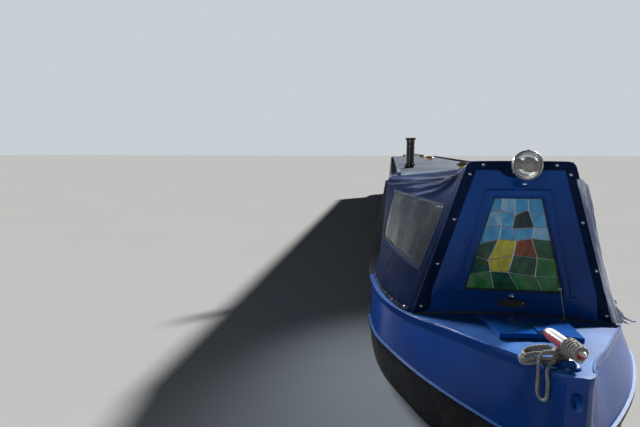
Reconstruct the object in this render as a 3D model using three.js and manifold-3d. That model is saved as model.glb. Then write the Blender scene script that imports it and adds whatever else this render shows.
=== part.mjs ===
// A full-length English canal narrowboat with a traditional stern and a canvas-covered fore end.
// Millimetres, +X to the bow, +Y to port, +Z up. The origin lies under the middle of the boat,
// at the underside of its flat bottom, so the boat stands on z = 0 as it does in a dry dock.
import * as THREE from 'three';
import { mergeVertices } from 'three/addons/utils/BufferGeometryUtils.js';
import Module from 'manifold-3d';

const wasm = await Module();
wasm.setup();

// Overall lengths along X
const BOW_TIP_X = 8600;
const STEM_X = BOW_TIP_X - 40;
const STERN_X = -8600;
const FENDER_DEPTH = 340;
const COUNTER_END_X = STERN_X + FENDER_DEPTH;
const BOARD_X = STEM_X - 1110;
const BOW_END_X = BOARD_X - 50;
const CABIN_FRONT_X = BOARD_X - 1540;
const CABIN_REAR_X = -7050;
const SWIM_START_X = -5400;
const SWIM_END_X = -7650;

// Hull heights and walls
const PLATE = 12;
const HULL_WALL = 55;
const BASE_HALF = 985;
const DECK_HALF = 1022;
const GUNWALE_Z = 1120;
const FLANGE = 30;
const UXTER_Z = 530;
const UXTER_THICK = 30;
const DECK_CAMBER = 42;
const STRAKE = 20;
const STRAKE_HALF_HEIGHT = 22;
const RAIL_OUT = 18;
const RAIL_HEIGHT = 44;
const BEAM_LIMIT = 1200;

// Cabin
const WALK = 97;
const WALL = 50;
const CABIN_FOOT_Y = DECK_HALF - WALK;
const CABIN_TOP_Y = 840;
const EAVES_Z = 2020;
const ROOF_CAMBER = 60;
const ROOF_THICK = 40;
const CABIN_FLOOR_Z = 170;
const WELL_FLOOR_Z = 620;
const GAP = 0.3;
const ROOF_LIP = 12;
const ROOF_EDGE = 14;
const HANDRAIL_Y = [735, 770];
const HANDRAIL_TOP_Z = 2092;
const SEAT_Y = 520;
const SEAT_RISE = 360;
const CHIMNEY_PLACE = [4000, -570];
const VENT_CENTRES = [5150, 450, -2150];

// Fore-end board, its window and the lamp on it
const BOARD_THICK = 28;
const BOARD_FOOT_Z = 1165;
const BOARD_HEIGHT = 1080;
const BOARD_TOP_HALF = 326;
const BOARD_FOOT_HALF = 657;
const PANE_FOOT_Z = BOARD_FOOT_Z + 205;
const PANE_TOP_Z = BOARD_FOOT_Z + 848;
const PANE_FOOT_HALF = 322;
const PANE_TOP_HALF = 155;
const BAND_WIDTH = 64;
const BAND_FOOT_WIDTH = 90;
const BAND_THICK = 4;
const CANVAS = 10;
const MOULDING_WIDTH = 50;
const MOULDING_OUT = 14;
const SILL = { half: 400, out: 22, height: 28 };
const LAMP_X = BOARD_X + 140;
const LAMP_Z = BOARD_FOOT_Z + 1065;
const LAMP_R = 102;

// Doors, hatch and lid
const DOOR_THICK = 35;
const CLEAR = 6;
const HINGE_R = 8;
const HINGE_OUT = HINGE_R + 0.4;
const FRONT_DOOR_HALF = 330;
const FRONT_DOOR_FOOT_Z = 700;
const FRONT_DOOR_TOP_Z = 1900;
const REAR_DOOR_HALF = 305;
const REAR_DOOR_FOOT_Z = GUNWALE_Z + 20;
const REAR_DOOR_TOP_Z = 2070;
const HATCH_LENGTH = 700;
const HATCH_HALF = 330;
const HATCH_TRAVEL = 600;
const RUNNER_TOP_Z = 2100;
const RUNNER_Y = [346, 376];
const HATCH_COVER_HALF = 400;
const LID_REAR_X = BOARD_X + 200;
const LID_LENGTH = 420;
const LID_HALF = 255;
const LID_RISE = 36;
const PIT_INSET_X = 35;
const PIT_INSET_Y = 60;
const PIT_FOOT_Z = 780;
const BARREL_Y = 150;

// Stern gear
const STOCK_X = -8050;
const STOCK_R = 30;
const PIN_R = 18;
const RUN_GAP = 0.6;
const SHAFT_Z = 300;
const SHAFT_R = 18;
const PROP_X = -7775;
const PROP_R = 212;
const SKEG_Z = 52;
const ENGINE = { x: [-6700, -5980], half: 230, z: [180, 900] };
const FENDER = { half: 230, z: [760, 1030] };

// Mooring stud on the fore deck, and the rope made fast to it
const STUD_X = STEM_X - 195;
const HORN_Z = 1404;
const HORN_YAW = 15;
const HORN_R = 30;
const POST_R = 24;
const STUD_FOOT_R = 46;
const ROPE_R = 8;

const COLOURS = {
  blue: [0x12399a, 0.32, 0.1],
  black: [0x15171b, 0.5, 0.1],
  navy: [0x151d3d, 0.85, 0],
  roof: [0x3a4450, 0.6, 0.05],
  wood: [0x8a5a32, 0.6, 0],
  steel: [0x9aa0a6, 0.35, 0.9],
  brass: [0xb8923f, 0.3, 0.95],
  bronze: [0x8c6a3a, 0.4, 0.9],
  white: [0xe6e4de, 0.45, 0],
  glass: [0x9fc4d8, 0.05, 0],
  rope: [0x9a8f78, 0.9, 0],
  grey: [0x6c7076, 0.6, 0.3],
};

const boat = new THREE.Group();

function material(name) {
  const [color, roughness, metalness] = COLOURS[name];
  return new THREE.MeshStandardMaterial({ color, roughness, metalness });
}

function geometryOf(body) {
  const mesh = body.getMesh();
  const geometry = new THREE.BufferGeometry();
  const positions = new Float32Array(mesh.numVert * 3);
  for (let i = 0; i < mesh.numVert; i++) {
    for (let k = 0; k < 3; k++) positions[3 * i + k] = mesh.vertProperties[mesh.numProp * i + k];
  }
  geometry.setAttribute('position', new THREE.BufferAttribute(positions, 3));
  geometry.setIndex(new THREE.BufferAttribute(new Uint32Array(mesh.triVerts), 1));
  return geometry;
}

function add(name, body, colour) {
  const mesh = new THREE.Mesh(geometryOf(body), material(colour));
  mesh.name = name;
  boat.add(mesh);
}

function signedVolume(position, index) {
  const a = new THREE.Vector3();
  const b = new THREE.Vector3();
  const c = new THREE.Vector3();
  let sum = 0;
  for (let i = 0; i < index.length; i += 3) {
    a.fromBufferAttribute(position, index[i]);
    b.fromBufferAttribute(position, index[i + 1]);
    c.fromBufferAttribute(position, index[i + 2]);
    sum += a.dot(b.cross(c));
  }
  return sum / 6;
}

// A closed three.js geometry as a solid that can be joined and cut, its faces turned outward
function solid(geometry) {
  const bare = geometry.clone();
  bare.deleteAttribute('normal');
  bare.deleteAttribute('uv');
  const merged = mergeVertices(bare, 1e-3);
  const index = Array.from(merged.index.array);
  if (signedVolume(merged.attributes.position, index) < 0) {
    for (let i = 0; i < index.length; i += 3) [index[i + 1], index[i + 2]] = [index[i + 2], index[i + 1]];
  }
  return new wasm.Manifold(new wasm.Mesh({
    numProp: 3,
    vertProperties: new Float32Array(merged.attributes.position.array),
    triVerts: new Uint32Array(index),
  }));
}

function box(x, y, z) {
  const geometry = new THREE.BoxGeometry(x[1] - x[0], y[1] - y[0], z[1] - z[0]);
  geometry.translate((x[0] + x[1]) / 2, (y[0] + y[1]) / 2, (z[0] + z[1]) / 2);
  return solid(geometry);
}

function extrude(outline, from, to) {
  const shape = new THREE.Shape(outline.map(([u, v]) => new THREE.Vector2(u, v)));
  const geometry = new THREE.ExtrudeGeometry(shape, { depth: to - from, bevelEnabled: false });
  return geometry.translate(0, 0, from);
}

// Outline in (y, z) drawn out along X
function alongX(outline, from, to) {
  const turn = new THREE.Matrix4().set(0, 0, 1, 0, 1, 0, 0, 0, 0, 1, 0, 0, 0, 0, 0, 1);
  return solid(extrude(outline, from, to).applyMatrix4(turn));
}

// Outline in (x, z) drawn out along Y
function alongY(outline, from, to) {
  const turn = new THREE.Matrix4().set(1, 0, 0, 0, 0, 0, -1, 0, 0, 1, 0, 0, 0, 0, 0, 1);
  return solid(extrude(outline, -to, -from).applyMatrix4(turn));
}

// Outline in (x, y) drawn out along Z
function alongZ(outline, from, to) {
  return solid(extrude(outline, from, to));
}

// Sections of equal point counts, each a list of [x, y, z], joined in order and capped
function loft(sections) {
  const count = sections[0].length;
  const positions = sections.flat(2);
  const index = [];
  for (let s = 0; s < sections.length - 1; s++) {
    for (let i = 0; i < count; i++) {
      const j = (i + 1) % count;
      const [a, b, c, d] = [s * count + i, s * count + j, (s + 1) * count + j, (s + 1) * count + i];
      index.push(a, b, c, a, c, d);
    }
  }
  const capOf = (section) => section.map(([, y, z]) => new THREE.Vector2(y, z));
  const clockwise = THREE.ShapeUtils.isClockWise(capOf(sections[0]));
  const caps = [[sections[0], 0, true], [sections.at(-1), (sections.length - 1) * count, false]];
  for (const [section, offset, flip] of caps) {
    const points = capOf(section);
    if (clockwise) points.reverse();
    const own = (i) => offset + (clockwise ? count - 1 - i : i);
    for (const [a, b, c] of THREE.ShapeUtils.triangulateShape(points, [])) {
      const same = flip !== clockwise;
      index.push(own(a), own(same ? c : b), own(same ? b : c));
    }
  }
  const geometry = new THREE.BufferGeometry();
  geometry.setAttribute('position', new THREE.BufferAttribute(new Float32Array(positions), 3));
  geometry.setIndex(index);
  return solid(geometry);
}

// A turned body whose profile is [radius, height], standing on its axis at the place given
function turned(profile, place, sides = 24, axis = 'z') {
  const geometry = new THREE.LatheGeometry(profile.map(([r, h]) => new THREE.Vector2(r, h)), sides);
  if (axis === 'z') geometry.rotateX(Math.PI / 2);
  if (axis === 'x') geometry.rotateZ(-Math.PI / 2);
  geometry.translate(...place);
  return solid(geometry);
}

function rod(radius, length, place, sides = 24, axis = 'z') {
  return turned([[0, 0], [radius, 0], [radius, length], [0, length]], place, sides, axis);
}

function tube(points, radius, sides, steps) {
  const curve = new THREE.CatmullRomCurve3(points.map((p) => new THREE.Vector3(...p)));
  const ring = [];
  for (let i = 0; i < sides; i++) {
    const turn = (2 * Math.PI * i) / sides;
    ring.push(new THREE.Vector2(radius * Math.cos(turn), radius * Math.sin(turn)));
  }
  const options = { steps, extrudePath: curve, bevelEnabled: false };
  return solid(new THREE.ExtrudeGeometry(new THREE.Shape(ring), options));
}

function join(...bodies) {
  return bodies.reduce((all, body) => all.add(body));
}

function mix(a, b, t) {
  return a + (b - a) * t;
}

// Hull form, one row per station: distance aft of the stem, half-breadths at deck, guard and
// bottom, height of the deck edge, height of the guard, and how far the deck rail stands out.
const STATION_COLUMNS = ['aft', 'deck', 'guard', 'base', 'sheer', 'guardZ', 'rail'];
const STATIONS = [
  [0, 45, 50, 40, 1328, 910, 2],
  [20, 72, 80, 66, 1327, 908, 2],
  [50, 92, 104, 86, 1324, 900, 2],
  [130, 122, 145, 114, 1314, 894, 2],
  [250, 179, 245, 168, 1297, 890, 2],
  [480, 328, 425, 300, 1262, 882, 3],
  [780, 502, 625, 474, 1218, 872, 4],
  [1110, 690, 795, 650, 1165, 862, 6],
  [1160, 716, 818, 676, 1159, 860, 6],
  [1400, 826, 910, 786, 1141, 846, 10],
  [1750, 928, 975, 888, 1128, 815, 14],
  [2200, 994, 1012, 954, 1121, 760, 18],
  [2570, DECK_HALF, DECK_HALF - 2, BASE_HALF, GUNWALE_Z, 715, 18],
  [STEM_X - CABIN_REAR_X, DECK_HALF, DECK_HALF - 2, BASE_HALF, GUNWALE_Z, 715, 18],
].map((row) => Object.fromEntries(STATION_COLUMNS.map((key, i) => [key, row[i]])));
const STEPS_BETWEEN = 3;

// Slope of one column at a station: the harmonic mean of its neighbours' slopes, so that the
// curve through the stations never swings past them
function slopeAt(i, key) {
  const rise = (a, b) => (b[key] - a[key]) / (b.aft - a.aft);
  if (i === 0) return rise(STATIONS[0], STATIONS[1]);
  if (i === STATIONS.length - 1) return 0;
  const [before, after] = [rise(STATIONS[i - 1], STATIONS[i]), rise(STATIONS[i], STATIONS[i + 1])];
  return before * after > 0 ? (2 * before * after) / (before + after) : 0;
}

function hullAt(x) {
  const aft = STEM_X - x;
  const next = Math.max(1, STATIONS.findIndex((row) => row.aft >= aft));
  const [a, b] = [STATIONS[next - 1], STATIONS[next]];
  const span = b.aft - a.aft;
  const t = (aft - a.aft) / span;
  const eased = t * t * (3 - 2 * t);
  const curve = (key) => mix(a[key], b[key], eased)
    + span * (t * (1 - t) ** 2 * slopeAt(next - 1, key) - t * t * (1 - t) * slopeAt(next, key));
  return Object.fromEntries(STATION_COLUMNS.map((key) => [key, curve(key)]));
}

function stationsBetween(xFront, xRear) {
  const all = STATIONS.slice(0, -1).flatMap((row, i) => {
    const parts = i < STATIONS.length - 2 ? STEPS_BETWEEN : 1;
    return Array.from({ length: parts }, (_, k) => STEM_X - mix(row.aft, STATIONS[i + 1].aft, k / parts));
  });
  return [xFront, ...all.filter((x) => x < xFront - 0.5 && x > xRear + 0.5), xRear];
}

// The outside of one half section from deck edge to bottom, side +1 to port or -1 to starboard
function skinPoints(x, side) {
  const h = hullAt(x);
  const bite = Math.min(STRAKE, h.guard * 0.2);
  return [
    [h.deck, h.sheer],
    [h.deck + h.rail, h.sheer - 4],
    [h.deck + h.rail, h.sheer - 4 - RAIL_HEIGHT],
    [h.deck, h.sheer - 8 - RAIL_HEIGHT],
    [h.guard, h.guardZ + STRAKE_HALF_HEIGHT],
    [h.guard + bite, h.guardZ + STRAKE_HALF_HEIGHT - 6],
    [h.guard + bite, h.guardZ - STRAKE_HALF_HEIGHT + 6],
    [h.guard, h.guardZ - STRAKE_HALF_HEIGHT],
    [h.base, PLATE],
  ].map(([y, z]) => [x, side * y, z]);
}

const CAMBER_STEPS = [-1, -0.75, -0.5, -0.25, 0, 0.25, 0.5, 0.75, 1];

function deckZ(x, fraction) {
  const h = hullAt(x);
  return h.sheer + Math.min(DECK_CAMBER, h.deck * 0.09) * (1 - fraction * fraction);
}

function bow() {
  const sections = stationsBetween(STEM_X, BOW_END_X).map((x) => {
    const h = hullAt(x);
    const deck = CAMBER_STEPS.slice(1, -1).map((f) => [x, f * h.deck, deckZ(x, f)]);
    return [...skinPoints(x, 1), ...skinPoints(x, -1).reverse(), ...deck];
  });
  const headProfile = [[0, 0], [50, 0], [50, 96], [44, 112], [28, 123], [0, 127]];
  const head = turned(headProfile, [STEM_X - 100, 0, 1230]);
  const pit = box(
    [LID_REAR_X + PIT_INSET_X, LID_REAR_X + LID_LENGTH - PIT_INSET_X],
    [-LID_HALF + PIT_INSET_Y, LID_HALF - PIT_INSET_Y],
    [PIT_FOOT_Z, 1400],
  );
  return join(loft(sections), head).subtract(pit);
}

// A half-round towing eye on the front of the stem
function stemEye() {
  const ring = turned([[22, -12], [40, -12], [40, 12], [22, 12], [22, -12]], [0, 0, 0], 24);
  const upright = ring.rotate([90, 0, 0]).translate([STEM_X, 0, 1215]);
  return upright.intersect(box([STEM_X, BOW_TIP_X + 10], [-60, 60], [1100, 1300]));
}

// The lid follows the deck's camber, with a folded rim that stands on the deck round the locker
function lockerLid() {
  const [rear, front] = [LID_REAR_X, LID_REAR_X + LID_LENGTH];
  const fractionAt = (x, y) => y / hullAt(x).deck;
  const top = (x, y) => deckZ(x, fractionAt(x, y)) + LID_RISE;
  const halfAt = { [rear]: LID_HALF, [front]: LID_HALF * 0.86 };
  const steps = [-1, -0.5, 0, 0.5, 1];
  const sections = [rear, (rear + front) / 2, front].map((x) => {
    const half = halfAt[x] ?? LID_HALF * 0.93;
    const upper = steps.map((f) => [x, f * half, top(x, f * half)]);
    const lower = steps.map((f) => [x, f * half, top(x, f * half) - LID_RISE + CLEAR]).reverse();
    return [...upper, ...lower];
  });
  const barrelZ = deckZ(rear, BARREL_Y / hullAt(rear).deck) + HINGE_OUT;
  const barrels = [-BARREL_Y, BARREL_Y].map((y) => {
    const barrel = turned([[0, -35], [HINGE_R, -35], [HINGE_R, 35], [0, 35]], [0, 0, 0], 12);
    return barrel.rotate([90, 0, 0]).translate([rear - HINGE_OUT, y, barrelZ]);
  });
  const leaves = [-BARREL_Y, BARREL_Y].map((y) =>
    box([rear - HINGE_OUT, rear + 30], [y - 30, y + 30], [barrelZ - 2, barrelZ + 6]));
  return join(loft(sections), ...barrels, ...leaves);
}

// Hull side with the gunwale turned in at its top to carry the cabin side
function hullSide(side) {
  const sections = stationsBetween(BOW_END_X, CABIN_REAR_X).map((x) => {
    const h = hullAt(x);
    const inner = [
      [h.base - HULL_WALL, PLATE],
      [h.deck - HULL_WALL, h.sheer - FLANGE],
      [h.deck - WALK - WALL, h.sheer - FLANGE],
      [h.deck - WALK - WALL, h.sheer],
    ].map(([y, z]) => [x, side * y, z]);
    return [...skinPoints(x, side), ...inner];
  });
  const across = [-BEAM_LIMIT, BEAM_LIMIT];
  return loft(sections).subtract(box([CABIN_REAR_X - 10, SWIM_START_X], across, [0, UXTER_Z + UXTER_THICK]));
}

function mirrored(half) {
  return [...half, ...half.map(([x, y]) => [x, -y]).reverse()];
}

// The stern counter's outline, rounded as half an ellipse, grown outward by an amount
function counterOutline(xFront, grow = 0) {
  const length = CABIN_REAR_X - COUNTER_END_X;
  const arc = [];
  const steps = 10;
  for (let i = 0; i <= steps; i++) {
    const turn = (Math.PI / 2) * (i / steps);
    const x = CABIN_REAR_X - (length + grow) * Math.sin(turn);
    arc.push([x, (DECK_HALF + RAIL_OUT + grow) * Math.cos(turn) ** 0.8]);
  }
  arc[steps][1] = 0;
  const upper = arc.slice(0, -1);
  const nose = [[arc[steps][0], 0]];
  const front = xFront > CABIN_REAR_X ? [[xFront, DECK_HALF + RAIL_OUT + grow]] : [];
  const half = [...front, ...upper];
  return [...half, ...nose, ...half.map(([x, y]) => [x, -y]).reverse()];
}

const SWIM_TOP = UXTER_Z;
// Swim plan, one row per station: x and half-breadth
const SWIM_PLAN = [
  [SWIM_START_X, BASE_HALF + 18],
  [SWIM_START_X - 700, 800],
  [SWIM_START_X - 1400, 480],
  [SWIM_END_X + 260, 150],
  [SWIM_END_X, 42],
];

function swimInside() {
  const rows = SWIM_PLAN.slice(0, 3).map(([x, y]) => [x, y - HULL_WALL]);
  rows.push([SWIM_END_X + 420, 110]);
  rows[0] = [SWIM_START_X + 1, rows[0][1]];
  return mirrored(rows);
}

function swim() {
  const shell = alongZ(mirrored(SWIM_PLAN), PLATE, SWIM_TOP);
  return shell.subtract(alongZ(swimInside(), PLATE + 45, SWIM_TOP + 1));
}

function baseplate() {
  const bowHalf = stationsBetween(STEM_X - 26, SWIM_START_X).map((x) => [x, hullAt(x).base + 14]);
  const sternHalf = SWIM_PLAN.slice(1).map(([x, y]) => [x, y + 8]);
  return alongZ(mirrored([...bowHalf, ...sternHalf]), 0, PLATE);
}

function stockHole(from, to) {
  const wide = (STOCK_R + RUN_GAP) / Math.cos(Math.PI / 24);
  return rod(wide, to - from, [STOCK_X, 0, from]);
}

function uxterPlate() {
  const topZ = UXTER_Z + UXTER_THICK;
  const plate = alongZ(counterOutline(SWIM_START_X), UXTER_Z, topZ);
  return plate.subtract(alongZ(swimInside(), UXTER_Z - 1, topZ + 1)).subtract(stockHole(500, 600));
}

// The counter's deck is cambered by its raised rim, with two mooring bollards and the stock's tube
function counter() {
  const body = alongZ(counterOutline(CABIN_REAR_X), UXTER_Z + UXTER_THICK, GUNWALE_Z);
  const bollards = [-1, 1].map((side) =>
    turned([[0, -5], [40, -5], [40, 20], [30, 34], [30, 80], [48, 96], [48, 112], [0, 118]],
      [CABIN_REAR_X - 560, side * 690, GUNWALE_Z]));
  const collar = rod(58, 40, [STOCK_X, 0, GUNWALE_Z - 5]);
  return join(body, ...bollards, collar).subtract(stockHole(500, GUNWALE_Z + 60));
}

function skeg() {
  const bar = box([STOCK_X - 60, SWIM_END_X], [-36, 36], [PLATE, SKEG_Z]);
  const cup = (PIN_R + RUN_GAP) / Math.cos(Math.PI / 24);
  return bar.subtract(rod(cup, 60, [STOCK_X, 0, PLATE + 8]));
}

function sternTube() {
  const bore = (SHAFT_R + RUN_GAP) / Math.cos(Math.PI / 24);
  const boss = rod(44, 40, [SWIM_END_X - 40, 0, SHAFT_Z], 24, 'x');
  return boss.subtract(rod(bore, 60, [SWIM_END_X - 50, 0, SHAFT_Z], 24, 'x'));
}

function propeller() {
  const hub = turned([[0, -60], [22, -56], [36, -30], [36, 50], [0, 50]], [PROP_X, 0, SHAFT_Z], 24, 'x');
  const shaft = rod(SHAFT_R, SWIM_END_X - 3 - PROP_X, [PROP_X, 0, SHAFT_Z], 24, 'x');
  const leaf = [
    [18, -28], [70, -78], [150, -96], [198, -62], [PROP_R, 0], [198, 50], [150, 74], [70, 62], [18, 28],
  ];
  const blades = [0, 120, 240].map((turn) => {
    const blade = alongX(leaf.map(([r, w]) => [w, r]), -5, 5).rotate([0, 0, 32]);
    return blade.rotate([turn, 0, 0]).translate([PROP_X, 0, SHAFT_Z]);
  });
  return join(hub, shaft, ...blades);
}

function rudder() {
  const stock = rod(STOCK_R, 1190 - 75, [STOCK_X, 0, 75]);
  const pin = rod(PIN_R, 60, [STOCK_X, 0, PLATE + 12]);
  const blade = alongY([
    [STOCK_X + 120, 80], [STOCK_X + 120, 440], [STOCK_X + 60, 500],
    [STOCK_X - 400, 500], [STOCK_X - 470, 420], [STOCK_X - 470, 150], [STOCK_X - 400, 80],
  ].reverse(), -8, 8);
  return join(stock, pin, blade);
}

function tillerNeck() {
  const neck = tube([
    [STOCK_X, 0, 1225], [STOCK_X, 0, 1330], [STOCK_X + 45, 0, 1500], [STOCK_X + 120, 0, 1700],
    [STOCK_X + 190, 0, 1900], [STOCK_X + 270, 0, 2060], [STOCK_X + 350, 0, 2112], [STOCK_X + 440, 0, 2120],
  ], 24, 12, 24);
  const socket = rod(42, 70, [STOCK_X, 0, 1190 + GAP]);
  return join(socket, neck);
}

function tillerBar() {
  const profile = [[0, 0], [17, 0], [17, 270], [22, 290], [24, 380], [20, 465], [12, 480], [0, 480]];
  const bar = turned(profile, [0, 0, 0], 16, 'x');
  return bar.rotate([0, -4, 0]).translate([STOCK_X + 440 + 0.7, 0, 2120]);
}

// Cabin side: a leaning wall with its four windows cut square to the boat's length
const WINDOW_LENGTH = 960;
const WINDOW_FOOT_Z = 1390;
const WINDOW_TOP_Z = 1850;
const WINDOW_CENTRES = [4350, 1750, -850, -3450];

function wallY(z) {
  return mix(CABIN_FOOT_Y, CABIN_TOP_Y, (z - GUNWALE_Z) / (EAVES_Z - GUNWALE_Z));
}

function slab(side, outer, inner, zFoot, zTop, from, to) {
  const outline = [
    [side * (wallY(zFoot) - outer), zFoot], [side * (wallY(zTop) - outer), zTop],
    [side * (wallY(zTop) - inner), zTop], [side * (wallY(zFoot) - inner), zFoot],
  ];
  return alongX(side > 0 ? outline : outline.reverse(), from, to);
}

function windowHole(centre, shrink) {
  const half = WINDOW_LENGTH / 2 - shrink;
  const [foot, top, cut] = [WINDOW_FOOT_Z + shrink, WINDOW_TOP_Z - shrink, 60];
  return alongY([
    [centre - half + cut, foot], [centre + half - cut, foot], [centre + half, foot + cut],
    [centre + half, top - cut], [centre + half - cut, top], [centre - half + cut, top],
    [centre - half, top - cut], [centre - half, foot + cut],
  ], -BEAM_LIMIT, BEAM_LIMIT);
}

function cabinSide(side) {
  const wall = slab(side, 0, WALL, GUNWALE_Z, EAVES_Z, CABIN_REAR_X, CABIN_FRONT_X);
  return WINDOW_CENTRES.reduce((body, centre) => body.subtract(windowHole(centre, 0)), wall);
}

function windowGlass(side, centre) {
  const [from, to] = [centre - WINDOW_LENGTH / 2, centre + WINDOW_LENGTH / 2];
  const pane = slab(side, 20, 28, WINDOW_FOOT_Z, WINDOW_TOP_Z, from, to);
  return pane.intersect(windowHole(centre, GAP));
}

function roofZ(y) {
  return EAVES_Z + ROOF_CAMBER * (1 - (y / CABIN_TOP_Y) ** 2);
}

const ROOF_STEPS = [-1, -0.75, -0.5, -0.25, 0, 0.25, 0.5, 0.75, 1];

function roof() {
  const upper = ROOF_STEPS.map((f) => [f * (CABIN_TOP_Y + ROOF_LIP), roofZ(f * CABIN_TOP_Y) + ROOF_EDGE]);
  const innerHalf = CABIN_TOP_Y - WALL;
  const under = ROOF_STEPS.map((f) =>
    [f * innerHalf, EAVES_Z + (ROOF_CAMBER - ROOF_THICK + ROOF_EDGE) * (1 - f * f)]);
  const outline = [
    [-(CABIN_TOP_Y + ROOF_LIP), EAVES_Z], ...under, [CABIN_TOP_Y + ROOF_LIP, EAVES_Z], ...upper.reverse(),
  ];
  const plate = alongX(outline, CABIN_REAR_X, CABIN_FRONT_X);
  const rails = [-1, 1].map((side) => {
    const ys = HANDRAIL_Y.map((y) => side * y).sort((a, b) => a - b);
    return box([CABIN_REAR_X + 60, CABIN_FRONT_X - 120], ys, [EAVES_Z + 10, HANDRAIL_TOP_Z]);
  });
  const runners = [-1, 1].map((side) => {
    const ys = RUNNER_Y.map((y) => side * y).sort((a, b) => a - b);
    const front = CABIN_REAR_X + HATCH_LENGTH + HATCH_TRAVEL + 20;
    return box([CABIN_REAR_X, front], ys, [EAVES_Z + 30, RUNNER_TOP_Z]);
  });
  const open = [CABIN_REAR_X - 10, CABIN_REAR_X + HATCH_LENGTH - 60];
  return join(plate, ...rails, ...runners).subtract(box(open, [-HATCH_HALF, HATCH_HALF], [1900, 2300]));
}

function slideHatch() {
  const [rear, front] = [CABIN_REAR_X - 14, CABIN_REAR_X + HATCH_LENGTH];
  const half = HATCH_COVER_HALF;
  const inner = half - 18;
  const top = (f) => RUNNER_TOP_Z + CLEAR + 22 + 22 * (1 - f * f);
  const crown = [1, 0.5, 0, -0.5, -1].map((f) => [f * half, top(f)]);
  const outline = [
    [-half, RUNNER_TOP_Z - 12], [-inner, RUNNER_TOP_Z - 12], [-inner, RUNNER_TOP_Z + CLEAR],
    [inner, RUNNER_TOP_Z + CLEAR], [inner, RUNNER_TOP_Z - 12], [half, RUNNER_TOP_Z - 12], ...crown,
  ];
  const shoeY = (RUNNER_Y[0] + RUNNER_Y[1]) / 2;
  const shoes = [-shoeY, shoeY].map((y) =>
    box([rear + 40, front - 40], [y - 12, y + 12], [RUNNER_TOP_Z + GAP, RUNNER_TOP_Z + 14]));
  return join(alongX(outline, rear, front), ...shoes);
}

// The bulkheads fill the cabin's inside, from the floor or the counter up to the roof
function bulkheadOutline(footZ, footHalf) {
  const flangeY = DECK_HALF - WALK - WALL - GAP;
  const under = ROOF_STEPS.slice().reverse().map((f) => {
    const y = f * (CABIN_TOP_Y - WALL - GAP - 1);
    return [y, EAVES_Z - GAP + (ROOF_CAMBER - ROOF_THICK + ROOF_EDGE) * (1 - f * f) - 1];
  });
  return [
    [-footHalf, footZ], [footHalf, footZ], [footHalf, GUNWALE_Z - FLANGE - GAP],
    [flangeY, GUNWALE_Z - FLANGE - GAP], [flangeY, GUNWALE_Z], ...under,
    [-flangeY, GUNWALE_Z], [-flangeY, GUNWALE_Z - FLANGE - GAP], [-footHalf, GUNWALE_Z - FLANGE - GAP],
  ];
}

function frontBulkhead() {
  const wall = alongX(bulkheadOutline(PLATE, BASE_HALF - HULL_WALL - 1), CABIN_FRONT_X - WALL, CABIN_FRONT_X);
  return wall.subtract(box(
    [CABIN_FRONT_X - 100, CABIN_FRONT_X + 100],
    [-FRONT_DOOR_HALF - 1, FRONT_DOOR_HALF + 1],
    [FRONT_DOOR_FOOT_Z - CLEAR, FRONT_DOOR_TOP_Z + CLEAR],
  ));
}

function rearBulkhead() {
  const foot = UXTER_Z + UXTER_THICK;
  const wall = alongX(bulkheadOutline(foot, BASE_HALF - HULL_WALL - 1), CABIN_REAR_X, CABIN_REAR_X + WALL);
  return wall.subtract(box(
    [CABIN_REAR_X - 10, CABIN_REAR_X + 100],
    [-REAR_DOOR_HALF - 1, REAR_DOOR_HALF + 1],
    [REAR_DOOR_FOOT_Z - CLEAR, 2300],
  ));
}

// One leaf of a pair of doors: outward is +1 where it opens forward and -1 where it opens aft
function doorLeaf(faceX, outward, side, half, footZ, topZ) {
  const [near, far] = [CLEAR / 2, half - CLEAR];
  const xs = [faceX - outward * DOOR_THICK, faceX].sort((a, b) => a - b);
  const ys = (a, b) => [side * a, side * b].sort((p, q) => p - q);
  const leaf = box(xs, ys(near, far), [footZ, topZ]);
  const axisX = faceX + outward * HINGE_OUT;
  const hinges = [footZ + 160, topZ - 160].map((z) => {
    const barrel = rod(HINGE_R, 90, [axisX, side * (half + 1), z - 45], 12);
    const xsFrom = (from) => [from, axisX + outward * 4].sort((a, b) => a - b);
    const root = box(xsFrom(faceX - outward * 2), ys(far - 60, far - 8), [z - 40, z + 40]);
    const strap = box(xsFrom(faceX + outward * GAP), ys(far - 60, half + 1), [z - 40, z + 40]);
    return join(barrel, root, strap);
  });
  return join(leaf, ...hinges);
}

function wellFloor() {
  const [from, to] = [CABIN_FRONT_X, BOW_END_X];
  const insideAt = (x) => hullAt(x).base - HULL_WALL - 4;
  const plan = mirrored(stationsBetween(to, from).map((x) => [x, insideAt(x)]));
  const floor = alongZ(plan, WELL_FLOOR_Z - 24, WELL_FLOOR_Z);
  const seats = alongZ(plan, WELL_FLOOR_Z - 1, WELL_FLOOR_Z + SEAT_RISE)
    .subtract(box([from - 10, to + 10], [-SEAT_Y, SEAT_Y], [WELL_FLOOR_Z - 5, GUNWALE_Z]));
  return join(floor, seats);
}

function cabinFloor() {
  const [from, to] = [SWIM_START_X, CABIN_FRONT_X - WALL];
  const half = BASE_HALF - HULL_WALL - 4;
  const floor = box([from, to], [-half, half], [CABIN_FLOOR_Z - 22, CABIN_FLOOR_Z]);
  const bearers = [-650, 0, 650].map((y) =>
    box([from + 50, to - 50], [y - 30, y + 30], [PLATE, CABIN_FLOOR_Z - 10]));
  const step = box([to - 300, to], [-320, 320], [CABIN_FLOOR_Z - 5, CABIN_FLOOR_Z + 250]);
  return join(floor, ...bearers, step);
}

function engine() {
  const { x, half, z } = ENGINE;
  const block = box(x, [-half, half], z);
  const feet = [-1, 1].map((side) => {
    const ys = [side * (half - 70), side * (half - 5)].sort((a, b) => a - b);
    return box([x[0] + 60, x[1] - 60], ys, [PLATE + 45, z[0] + 20]);
  });
  return join(block, ...feet);
}

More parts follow.
